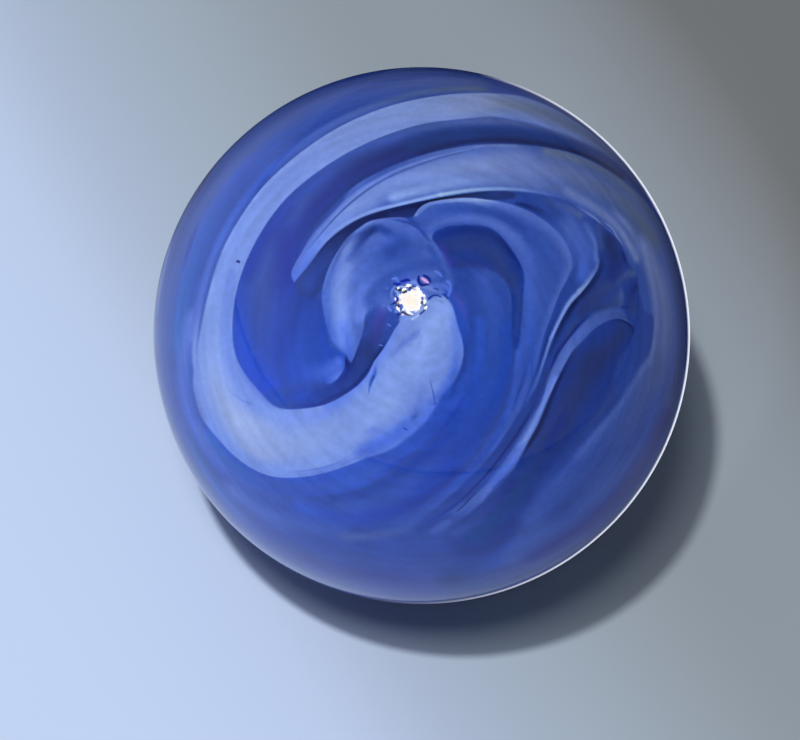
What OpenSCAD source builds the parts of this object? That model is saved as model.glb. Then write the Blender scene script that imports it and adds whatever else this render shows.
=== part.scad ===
// Swirl marble: one ball of glass, gathered in two blues and folded into a nine-and-tail swirl.
// Lengths are in millimetres and angles in degrees.
// The origin is at the centre of the ball, and +Z is up.
// The ball is one true sphere. The glasses are fused where they meet, and no fold stands proud.

/* [Ball] */
// Diameter of the ball, right across its outside
marble_d = 16; // [12:0.5:50]

/* [Glass] */
// Ground glass, which most of the ball is made of
ground_glass = "#3150b6"; // [#3150b6:Cobalt, #2f7d55:Green, #8d2f3c:Red, #5b3f8f:Violet]
// Milky glass, drawn out into the bright folds
milky_glass = "#86a6e6"; // [#86a6e6:Sky blue, #a9dcc0:Mint, #f0b7a6:Peach, #c5b5ea:Lilac]
// Dense glass, in the hollows between the folds
dense_glass = "#22336e"; // [#22336e:Navy, #1d4a35:Bottle green, #551a24:Oxblood, #2f2355:Plum]
// Thin milky glass, where a fold spreads over the flank and the ground shows through it
misty_glass = "#526aa8"; // [#526aa8:Slate blue, #5b9a7b:Sage, #b3685f:Rose, #8775b8:Lavender]

/* [Hidden] */

marble_r = marble_d / 2;

// The swirl winds round its eye, which looks out along -Y and is tipped up from level by this angle
eye_elevation = 57;
// The swirl is turned about its eye, anticlockwise as seen from outside
eye_turn = 17;

// Slices between two stations of a fold, and facets round the ball in a preview
slices = 4;
ball_facets = 120;

// Each fold is a ribbon along a smooth path over the ball. Its stations are
// [east, north, half width] in degrees of arc from the eye, which is at [0, 0].

// The great fold comes over the top and down the left, turns under,
// and ends in a broad tongue at the eye.
great_fold = [
    [64, 48, 3.2], [38, 57, 4.8], [12, 57, 5.3], [-11, 50.8, 5.8], [-28, 39, 7],
    [-40, 24, 5.8], [-46, 9, 5], [-49.5, -6, 8.6], [-43, -19, 9.2], [-29, -24, 8.2],
    [-14, -19.5, 7.4], [-3.5, -10, 7.2], [1.5, -2.5, 5.6], [1.8, 3, 3.4], [1, 6, 1]
];

// The second fold lies inside the first. It starts in a point and spreads to the right.
second_fold = [
    [-26.3, 12, 0.3], [-22.5, 18.4, 1.6], [-16, 25.6, 3], [-7, 31.4, 4.6], [5, 35.8, 5.9],
    [20, 38, 6.4], [36, 37, 5.8], [48, 31, 4], [56, 22, 1]
];

// The crest stands beside the eye. Its back is to the left, and its lower end is drawn to a point.
crest = [
    [-15.4, -6, 0.3], [-16.4, -0.5, 2.6], [-15.8, 5, 4.2], [-15.9, 10.5, 3.7],
    [-14.8, 16, 2.3], [-11.8, 20.6, 1.2], [-7, 23.3, 0.3]
];

// Threads of milky glass along the edges of the lobes, from the inner lobe to the outer one
threads = [
    [[3.5, 21.6, 0.3], [9, 23.4, 0.7], [15.5, 21.8, 0.9], [21, 16.5, 1], [22.6, 9, 0.7],
     [22, -1, 0.5], [19.5, -12, 0.4]],
    [[2, 27.4, 0.5], [12, 28.3, 0.9], [21, 26.4, 1.1], [28, 21.5, 1.3], [31.2, 15.5, 1],
     [29, 8.5, 0.7], [26, 0, 0.4]],
    [[39.2, 22, 0.3], [38.6, 15.8, 0.8], [35, 10.4, 0.8], [30, 5.2, 0.6], [26.8, -2.5, 0.6],
     [24.4, -10, 0.5], [20.5, -18, 0.3]],
    [[50, 2.8, 0.3], [44, 4.6, 0.7], [37.5, 3.1, 1.2], [31.8, -2, 1.4], [27.8, -9.5, 1.1],
     [23.5, -18.5, 1.1], [17.5, -27.5, 0.9], [9, -36.5, 0.4]]
];

// Dense glass, from the rim inwards: the hollow between the two great folds, the one round
// the crest, the trunk beside the tongue, the inner lobe, and the two lobes on the right
hollows = [
    [[-31, 23.5, 0.5], [-22, 31.6, 1.8], [-8, 40.8, 2.6], [12, 47, 2.6], [33, 48.4, 2.7],
     [52, 42.5, 2.4], [68, 29.5, 1.4]],
    [[-26.8, 7.5, 0.5], [-22.6, 13, 1.6], [-16.4, 20.6, 1], [-9, 25.1, 0.6], [0, 27.9, 0.4],
     [10, 30, 0.4]],
    [[-9.8, 6, 0.5], [-10, 1.5, 1.2], [-12, -4.5, 1.5], [-16, -10, 0.9], [-21, -13, 0.3]],
    [[4.5, 19.5, 0.6], [9.5, 19, 2.5], [15, 16, 2.8], [18.6, 10, 1.8], [19.2, 1, 0.6]],
    [[47.5, 20, 1], [46, 15.5, 3.2], [41.5, 10.3, 2.6], [35.5, 6.3, 1.2], [30.5, 1.5, 0.5]],
    [[50, -0.5, 0.6], [45.5, -3.5, 3.6], [39, -10.5, 6.2], [33, -19.5, 5.4], [26.5, -30, 4.4],
     [17, -41, 3], [6, -49.5, 0.5]]
];

// The second fold thins out down the right flank and runs on under the eye to the left
flank = [
    [61, 17, 1], [64, 5, 5.5], [62, -10, 7], [54, -27, 8], [39, -45, 8], [18, -58, 8],
    [-6, -61.5, 7.5], [-29, -57, 6.5], [-48, -46, 4], [-60, -31, 0.8]
];

// On the far side the folds are drawn out to the tail, and their stations are
// [east, north, half width] from the tail, as seen from behind
tail_folds = [
    [[58, 38, 0.6], [38, 42, 4.5], [14, 38, 6.5], [-8, 25, 6], [-20, 6, 4], [-18, -12, 1.8],
     [-8, -20, 0.4]],
    [[-60, -34, 0.6], [-40, -41, 4.5], [-16, -40, 6.5], [6, -27, 6], [18, -9, 4], [17, 7, 1.8],
     [9, 15, 0.4]]
];
tail_hollows = [
    [[66, 22, 0.5], [46, 29.5, 2.6], [24, 29, 3.4], [4, 18, 2.4], [-6, 4, 0.5]],
    [[-66, -18, 0.5], [-48, -27, 2.6], [-26, -28.5, 3.4], [-6, -18.5, 2.4], [4, -6, 0.5]]
];

// Point of a smooth curve at t from 0 to 1 between b and c, with a before them and d after them
function between(a, b, c, d, t) =
    (2 * b + (c - a) * t + (2 * a - 5 * b + 4 * c - d) * t * t
     + (3 * b - a - 3 * c + d) * t * t * t) / 2;

// Path of a fold, with its stations joined by a smooth curve
function path(stations) =
    let(last = len(stations) - 1)
    [for (i = [0 : last * slices])
        let(k = min(floor(i / slices), last - 1))
        between(
            stations[max(k - 1, 0)], stations[k], stations[k + 1], stations[min(k + 2, last)],
            i / slices - k
        )
    ];

// Direction of a path at its point i, as a unit vector
function heading(points, i) =
    let(
        ahead = points[min(i + 1, len(points) - 1)],
        behind = points[max(i - 1, 0)],
        step = [ahead.x - behind.x, ahead.y - behind.y]
    )
    step / norm(step);

// Where a place on the ball is seen by someone who looks straight into the eye
function seen(east, north) =
    let(arc = norm([east, north]), bearing = atan2(north, east))
    marble_r * sin(arc) * [cos(bearing), sin(bearing)];

// One edge of a fold: its left edge where side is 1, and its right edge where side is -1
function edge(points, side) =
    [for (i = [0 : len(points) - 1])
        let(p = points[i], h = heading(points, i))
        seen(p.x - side * p.z * h.y, p.y + side * p.z * h.x)
    ];

function reversed(list) = [for (i = [len(list) - 1 : -1 : 0]) list[i]];

// One fold as a sheet that hangs from its outline into the glass, and starts above the surface
module fold(stations, root) {
    points = path(stations);
    translate([0, 0, root])
        linear_extrude(height = marble_d)
            polygon(concat(edge(points, 1), reversed(edge(points, -1))));
}

// Turns what faces +Z towards the eye of the swirl
module face_eye() {
    rotate([90 - eye_elevation, 0, 0])
        rotate([0, 0, eye_turn])
            children();
}

// Sheets of one kind of glass: the near ones reach the ball's middle, and the far ones end short of it
module sheets(near, far = []) {
    face_eye() {
        for (stations = near)
            fold(stations, root = 0);
        rotate([0, 180, 0])
            for (stations = far)
                fold(stations, root = marble_r / 4);
    }
}

module milky_sheets() {
    sheets(near = concat([great_fold, second_fold, crest], threads), far = tail_folds);
}

module dense_sheets() {
    sheets(near = hollows, far = tail_hollows);
}

module misty_sheets() {
    sheets(near = [flank]);
}

module ball() {
    sphere(d = marble_d, $fn = ball_facets);
}

// The ball is cut where a sheet runs, and the sheet is trimmed by the ball, so they fuse flush
module marble() {
    color(ground_glass)
        difference() {
            ball();
            milky_sheets();
            dense_sheets();
            misty_sheets();
        }
    color(milky_glass)
        intersection() {
            ball();
            milky_sheets();
        }
    color(dense_glass)
        intersection() {
            ball();
            dense_sheets();
        }
    color(misty_glass)
        intersection() {
            ball();
            misty_sheets();
        }
}

marble();
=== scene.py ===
"""The looks of a swirl marble: its folded glasses, its worn skin, a pale floor, and the light on it.

Lengths are in metres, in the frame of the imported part. Places on the glass are pairs of degrees
of arc, (east, north), from the eye of the swirl or from its tail on the far side.
"""
import math

import bmesh
import bpy
import numpy as np
from mathutils import Matrix, Vector


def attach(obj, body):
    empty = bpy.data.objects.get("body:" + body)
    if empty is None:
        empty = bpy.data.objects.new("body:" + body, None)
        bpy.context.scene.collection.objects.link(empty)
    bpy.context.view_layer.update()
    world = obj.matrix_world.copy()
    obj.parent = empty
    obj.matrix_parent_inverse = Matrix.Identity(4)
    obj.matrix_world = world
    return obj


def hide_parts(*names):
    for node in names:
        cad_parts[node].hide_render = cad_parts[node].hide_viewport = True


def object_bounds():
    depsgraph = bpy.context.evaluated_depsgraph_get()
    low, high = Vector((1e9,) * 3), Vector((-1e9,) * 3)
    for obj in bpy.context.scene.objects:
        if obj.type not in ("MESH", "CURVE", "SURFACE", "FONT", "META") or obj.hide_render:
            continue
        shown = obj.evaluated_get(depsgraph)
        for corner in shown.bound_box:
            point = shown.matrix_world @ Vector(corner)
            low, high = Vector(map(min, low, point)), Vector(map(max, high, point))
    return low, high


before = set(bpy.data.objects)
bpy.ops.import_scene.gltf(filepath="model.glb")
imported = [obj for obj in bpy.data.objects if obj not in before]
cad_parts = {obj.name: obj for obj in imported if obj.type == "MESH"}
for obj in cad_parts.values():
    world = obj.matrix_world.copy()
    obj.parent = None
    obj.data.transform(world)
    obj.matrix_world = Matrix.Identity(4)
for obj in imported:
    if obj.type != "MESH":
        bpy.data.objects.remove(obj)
CAD_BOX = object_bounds()

# Ball: its radius from the part's box, to a thousandth of a millimetre, then the height at which its eye
# looks out, and the turn of the map about the eye
BALL_R = round(CAD_BOX[1][2], 6)
EYE_ELEVATION = math.radians(57)
EYE_TURN = math.radians(17)

# Directions of the eye frame: out of the eye, and east and north as seen from outside
LEVEL = Vector((1, 0, 0))
UPHILL = Vector((0, math.sin(EYE_ELEVATION), math.cos(EYE_ELEVATION)))
OUTWARD = Vector((0, -math.cos(EYE_ELEVATION), math.sin(EYE_ELEVATION)))
EAST = math.cos(EYE_TURN) * LEVEL + math.sin(EYE_TURN) * UPHILL
NORTH = -math.sin(EYE_TURN) * LEVEL + math.cos(EYE_TURN) * UPHILL

# Camera, which looks straight into the eye; the ball stands a little off the picture's centre
PICTURE_WIDTH = 800
SENSOR = 36
FOCAL_PX = 4353
CAMERA_DISTANCE = 16.25 * BALL_R
CLIP_START = CAMERA_DISTANCE / 10
CLIP_END = CAMERA_DISTANCE * 40
BALL_OFFSET_PX = (21.5, 34.4)

# Room: walls from dim to bright and a dim ceiling, their directions in the eye frame, and the spans over
# which the light changes, as shares of the way along a direction
BRIGHT_SIDE = (-0.80, -0.40, 0.45)
DIM_WALL = (0.16, 0.19, 0.25)
BRIGHT_WALL = (0.80, 0.86, 1.00)
CEILING_AT = (0.1, 0.2, 1.0)
CEILING_LIGHT = 0.25
SIDE_LIGHT = 1.3
HORIZON_LIGHT = 0.62
WALL_SPAN = (-0.9, 0.9)
CEILING_SPAN = (0.15, 0.85)
HORIZON_SPAN = (0, 0.45)

# Lamps: directions in the eye frame, widths in degrees as seen from the ball; the gloss lamp hangs a
# little under the other one, because two lamps at one place hide each other
LAMP_COLOUR = (1.0, 0.93, 0.82)
LAMP_DISTANCE = 0.5
LAMP_AT = (-0.075, 0.249, 0.96)
LAMP_WIDTH = 10.3
LAMP_WATTS = 1.5
GLOSS_DISTANCE = 0.98 * LAMP_DISTANCE
GLOSS_WATTS = 0.46
GLOSS_COLOUR = (1.0, 0.94, 0.62)
FLOOR_LAMP_AT = (-0.129, 0.338, 0.96)
FLOOR_LAMP_WIDTH = 2.6
FLOOR_LAMP_WATTS = 3.6

# Floor: its radius and finish, and its tones along one axis of the eye frame, with places in ball radii
FLOOR_R = 1.2
FLOOR_ROUGHNESS = 0.6
FLOOR_SPECULAR = 0.2
FLOOR_SIDES = 96
FLOOR_AXIS = (-0.85, -0.53)
# Painted light: the floor's tones are lighter towards the bright side of the room, darker away from it
FLOOR_PAINTED_LIGHT = [
    (-1.65, (0.064, 0.068, 0.073)), (-1.02, (0.136, 0.170, 0.215)), (-0.48, (0.118, 0.146, 0.184)),
    (0.0, (0.152, 0.190, 0.242)), (0.41, (0.168, 0.220, 0.298)), (0.75, (0.190, 0.242, 0.345)),
    (1.08, (0.236, 0.306, 0.455)), (1.83, (0.244, 0.320, 0.472)),
]

# Card that is mirrored in the ball's rim: by bearing in degrees, the light of its outer line, how much
# of the floor the line hides, and how much the dark band inside it hides; depths are in pixels
BALL_RADIUS_PX = 268.4
CARD_LIGHT = "light"
CARD_STEPS = 144
CARD_HEIGHT = 0.01 * BALL_R
CARD_DEPTHS = (0, 0.8, 1.4, 2, 2.6, 4, 6, 8, 10, 13, 16)
RIM_DEPTHS = (0, 1.4, 2.4, 8, 15)
INNER_FADE = 0.7
RIM_COLOUR = (1.0, 1.05, 1.2)
RIM_SHADE = (0.008, 0.010, 0.024)
RIM_LIGHT = [
    (-180, 0.5, 0.3, 0.1), (-165, 0.8, 0.3, 0.1), (-150, 0.6, 0.2, 0), (-135, 0.4, 0, 0), (-105, 0.4, 0, 0),
    (-90, 0.5, 0.3, 0.1), (-75, 0.7, 0.8, 0.2), (-60, 0.9, 1, 0.35), (-45, 1, 1, 0.5), (-30, 1.1, 1, 0.65),
    (-15, 1.2, 1, 0.85), (0, 1.2, 1, 1), (30, 1.2, 1, 1), (45, 1.1, 1, 0.6), (60, 0.9, 1, 0.5),
    (70, 0.5, 1, 0.8), (77, 0, 1, 1), (105, 0, 1, 1), (120, 0, 0.95, 0.9), (135, 0, 0.85, 0.8),
    (150, 0, 0.7, 0.6), (165, 0, 0.6, 0.4), (180, 0.5, 0.3, 0.1),
]

# Tones of the glasses: key colours of each ramp from dark to light, and the steps from key to key
STEPS_A_KEY = 4
GLASS = {
    "ultra": ["000028", "000090", "002ece", "2456ea", "4a80ff", "78b0ff", "a8dcff"],
    "cobalt": ["00001e", "000a7e", "0838ae", "305ad0", "5a7ff4", "86a8ff", "b4d2ff"],
    "blue": ["000214", "02146c", "183a9c", "3a5cbe", "6282e2", "8cabf4", "bed4ff"],
    "slate": ["00040a", "0a1a56", "263c88", "4860ac", "6e85d0", "96ace4", "cdd5f0"],
    "teal": ["000810", "001864", "04449e", "2866c8", "508ae8", "7aacfc", "aad0ff"],
    "violet": ["04000e", "0c0a6e", "2a3096", "4c54be", "707ade", "96a2f4", "c8caff"],
    "grey": ["000806", "161c40", "32446e", "546894", "7c8eb4", "a5b4cd", "d2dce6"],
    "rose": ["140010", "401068", "6a308c", "9858b4", "c882d8", "f4b3f3", "ffdcff"],
}
GROUND_TONE = "blue 10"

# Mesh of the ball: an even net, split once on the eye's side, which starts at a share of the radius,
# then in rounds wherever the colour turns or a fine line runs, down to the shortest edges that are split
COARSE_STEPS = 6
FRONT = -0.1
SPLIT_ROUNDS = 4
COLOUR_STEP = 0.026
FINEST_EDGE = math.radians(0.22) * BALL_R
THIN_EDGE = math.radians(0.6) * BALL_R

# Paint: the two maps, the curve steps from station to station, the places worked on at once, the least
# softness of an edge, and the half width of a thin stroke and its reach, in degrees
EYE = "eye"
TAIL = "tail"
SWIRL = "swirl"
PATH_STEPS = 5
BLOCK = 4000
SHARPEST = 0.15
THIN_STROKE = 0.8
THIN_REACH = 0.3
LEAST_WIDTH = 1e-3
LEAST_SQUARE = 1e-12
LEAST_RISE = 1e-9

# Glass: gloss; streaks, clouds and grain in its colour as shares of it; pits in metres; the scales and
# details of the noises, and the span of a noise that is spread out; how fast the noise of the streaks
# changes round the eye and outwards from it
GLASS_IOR = 1.5
ROUGHNESS = (0.04, 0.07)
STREAKS_ROUND = 1.2
STREAKS_OUTWARD = 26
STREAK_NOISE = (1, 3)
STREAKS = 0.09
CLOUD_NOISE = (900, 4)
CLOUDS = 0.055
GRAIN_NOISE = (5000, 2)
GRAIN = 0.05
NOISE_SPAN = (0.25, 0.75)
HAZE_NOISE = (700, 3)
HAZE_SPAN = (0.3, 0.7)
PIT_NOISE = (4000, 2)
PIT_STRENGTH = 0.2
PIT_DEPTH = 0.00001

# Worn skin: the depth of a dent with the steepest slope 1, as a share of its radius, then the chips
# (east, north, radius, slope) and the scratches, all in degrees
DENT_SHARE = 1 / 1.54
CHIPS = [
    (0.6, 5.7, 0.7, 2.5), (-1.6, 3.6, 0.6, 2.2), (-0.9, 5.7, 0.35, 4), (0.3, 6.6, 0.5, 2.5),
    (-3.5, 9, 0.7, 2), (-4.5, 9.4, 0.6, 2.5), (-1.8, 4.5, 0.5, 2.2), (0.4, 7.7, 0.6, 2),
    (-4.4, 5.6, 0.7, 2), (-2.6, 9.7, 0.8, 2.4), (-1, 9.3, 0.6, 2), (-5, 7.4, 0.6, 1.8),
    (-3.6, 4.4, 0.6, 2), (1.4, 9.6, 0.7, 1.6), (3, 9.1, 0.6, 1.6), (-5.6, 10, 0.6, 1.8),
    (-5, 11.6, 0.7, 1.6), (-1.4, 10.7, 0.7, 1.6), (0.5, 11.3, 0.6, 2), (3.4, 12.8, 0.6, 1.4),
    (5.6, 10, 0.7, 1.4), (2.2, 7.4, 0.6, 1.5), (4, 7.2, 0.6, 1.3), (-6.4, 5.6, 0.5, 1.6),
    (1.8, 4.4, 0.5, 1.6), (-3.4, 3, 0.6, 1.6), (0.2, 3.4, 0.5, 1.6), (-6.6, 2.2, 0.5, 1.3),
    (-7.4, 8, 0.6, 1.1), (4.8, 8, 0.6, 1.3),
]
SCRATCH_WIDTH = 0.25
SCRATCH_TILT = 6
SCRATCHES = [
    [(1.7, -8.8), (2.1, -10.6), (2.6, -12.8), (2.8, -15), (2.9, -16.4)],
    [(1.9, -14.1), (3, -13.8), (3.8, -14)],
    [(12.1, -33.6), (11.2, -35.1), (10, -36.4), (8.9, -37.6), (7.8, -38.9)],
    [(-44.6, -11.4), (-41.8, -13.8), (-39.1, -15)],
    [(-41.9, 16.9), (-41.3, 16.7)],
]

# Far side: the middles and half widths of a fold, of a hollow and of the bands between them, and how far
# aside of a band's middle each of its parts runs and how wide it is, as shares of the half width
HALF_TURN = 183
TAIL_SOFTNESS = 0.6
RING_STEP = 30
TAIL_FOLD = [
    (103, 8, 0.4), (99, 18, 3.5), (93, 26, 6.5), (84, 32, 7.5), (70, 37, 6), (58, 38, 5), (38, 42, 5),
    (14, 38, 6.5), (-8, 25, 6.2), (-20, 6, 4.2), (-18, -12, 2), (-8, -20, 0.4),
]
TAIL_HOLLOW = [
    (103, -12, 0.4), (97, -4, 2.2), (88, 4, 4), (76, 14, 3.6), (66, 22, 2.6), (46, 29.5, 3), (24, 29, 3.6),
    (4, 18, 2.6), (-6, 4, 0.5),
]
TAIL_STREAM = [
    (97, 38, 0.4), (92, 43, 2.6), (85, 47, 5), (74, 50, 6), (50, 54, 5), (20, 54, 5), (-8, 42, 5),
    (-28, 18, 4), (-32, -10, 2.4), (-22, -28, 0.5),
]
TAIL_THREAD = [
    (90, 50, 0.4), (83, 57, 2.2), (70, 63, 2.2), (40, 66, 1.6), (8, 62, 1.6), (-20, 48, 1.4),
    (-38, 24, 1), (-42, 0, 0.4),
]
NEAR_SIDE = (0.75, 0.6)
OTHER_SIDE = (-0.75, 0.6)
MIDDLE = (0.1, 0.5)
THREAD = (-0.3, 0.12)
GLINT = (0.93, 0.12)


def ring(radius, softness):
    """Outline of a round field about its pole."""
    turns = [math.radians(angle) for angle in range(0, 360, RING_STEP)]
    return [(radius * math.cos(turn), radius * math.sin(turn), softness) for turn in turns]


def turned(path, angle):
    """A path of the far side, turned about the tail."""
    turn = math.radians(angle)
    c, s = math.cos(turn), math.sin(turn)
    return [(e * c - n * s, e * s + n * c, *rest) for e, n, *rest in path]


def beside(path, aside, width=1.0):
    """A path's stations moved aside by one share of their half width, with another share as their width."""
    moved = []
    for i, (e, n, half) in enumerate(path):
        before, after = path[max(i - 1, 0)], path[min(i + 1, len(path) - 1)]
        run_e, run_n = after[0] - before[0], after[1] - before[1]
        length = math.hypot(run_e, run_n)
        moved.append((e - run_n / length * half * aside, n + run_e / length * half * aside, half * width))
    return moved


def sides(path, softness):
    """Outline of the band whose middle and half widths a path gives."""
    left = [(e, n, softness) for e, n, _ in beside(path, 1)]
    right = [(e, n, softness) for e, n, _ in beside(path, -1)]
    return left + right[::-1]


def tail_band(path, base, near_edge, other_edge, middle, glint):
    """A band of glass on the far side, shaded across its width, with a thin light along one edge."""
    strokes = [
        ("near side", near_edge, beside(path, *NEAR_SIDE)),
        ("other side", other_edge, beside(path, *OTHER_SIDE)),
        ("middle", middle, base, beside(path, *MIDDLE)),
        ("thread", other_edge, middle, beside(path, *THREAD)),
        ("glint", glint, beside(path, *GLINT)),
    ]
    return (TAIL, base, sides(path, TAIL_SOFTNESS), strokes)


# Fields of glass: pole of their map, tone, outline (east, north and softness of the edge there; a point
# given twice is a corner), and the strokes of colour in them. A stroke has a name, its tone or the tones
# at its two ends, and stations (east, north, half width, opacity if not 1). A softness or half width
# that is left out stays as it was before. A field without an outline lays its strokes over all that is
# there.

# Far side: its ground, then bands, threads, hollows and folds that wind in from the eye's side
FAR_SIDE = [
    (TAIL, "blue 9", ring(92, 24), [
        ("shade a", "cobalt 8", "blue 9", beside(turned(TAIL_STREAM, -35), 0, 2.2)),
        ("shade b", "blue 7", "cobalt 8", beside(turned(TAIL_STREAM, HALF_TURN - 35), 0, 2.2)),
        ("light a", "blue 12", "slate 12", beside(turned(TAIL_STREAM, 25), 0, 1.6)),
        ("light b", "slate 12", "blue 11", beside(turned(TAIL_STREAM, HALF_TURN + 25), 0, 1.6)),
        ("heart", "cobalt 8", "blue 9", [(-3, -4, 7), (0, 0, 8), (3, 4, 7)]),
    ]),
    tail_band(turned(TAIL_STREAM, -68), "cobalt 6", "blue 5", "blue 8", "cobalt 7", "blue 10"),
    tail_band(turned(TAIL_STREAM, HALF_TURN - 68), "blue 6", "cobalt 4", "cobalt 8", "blue 7", "slate 11"),
    tail_band(turned(TAIL_STREAM, 8), "blue 12", "slate 14", "blue 10", "slate 12", "slate 16"),
    tail_band(turned(TAIL_STREAM, HALF_TURN + 8), "slate 12", "blue 10", "slate 14", "blue 13", "slate 15"),
    tail_band(turned(TAIL_THREAD, 0), "blue 5", "cobalt 4", "blue 7", "cobalt 6", "blue 9"),
    tail_band(turned(TAIL_THREAD, HALF_TURN - 6), "blue 14", "slate 16", "blue 12", "slate 15", "slate 18"),
    tail_band(turned(TAIL_THREAD, 52), "slate 14", "slate 16", "blue 12", "slate 13", "slate 17"),
    tail_band(turned(TAIL_STREAM, 122), "slate 14", "blue 12", "slate 16", "blue 14", "slate 19"),
    tail_band(turned(TAIL_THREAD, 96), "cobalt 6", "blue 5", "blue 9", "cobalt 7", "blue 11"),
    tail_band(TAIL_HOLLOW, "cobalt 4", "blue 2", "cobalt 6", "cobalt 3", "blue 7"),
    tail_band(turned(TAIL_HOLLOW, HALF_TURN), "blue 4", "blue 2", "cobalt 6", "cobalt 3", "blue 8"),
    tail_band(TAIL_FOLD, "slate 16", "slate 14", "blue 18", "slate 17", "slate 20"),
    tail_band(turned(TAIL_FOLD, HALF_TURN), "slate 15", "blue 17", "slate 14", "blue 16", "slate 19"),
]

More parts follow.
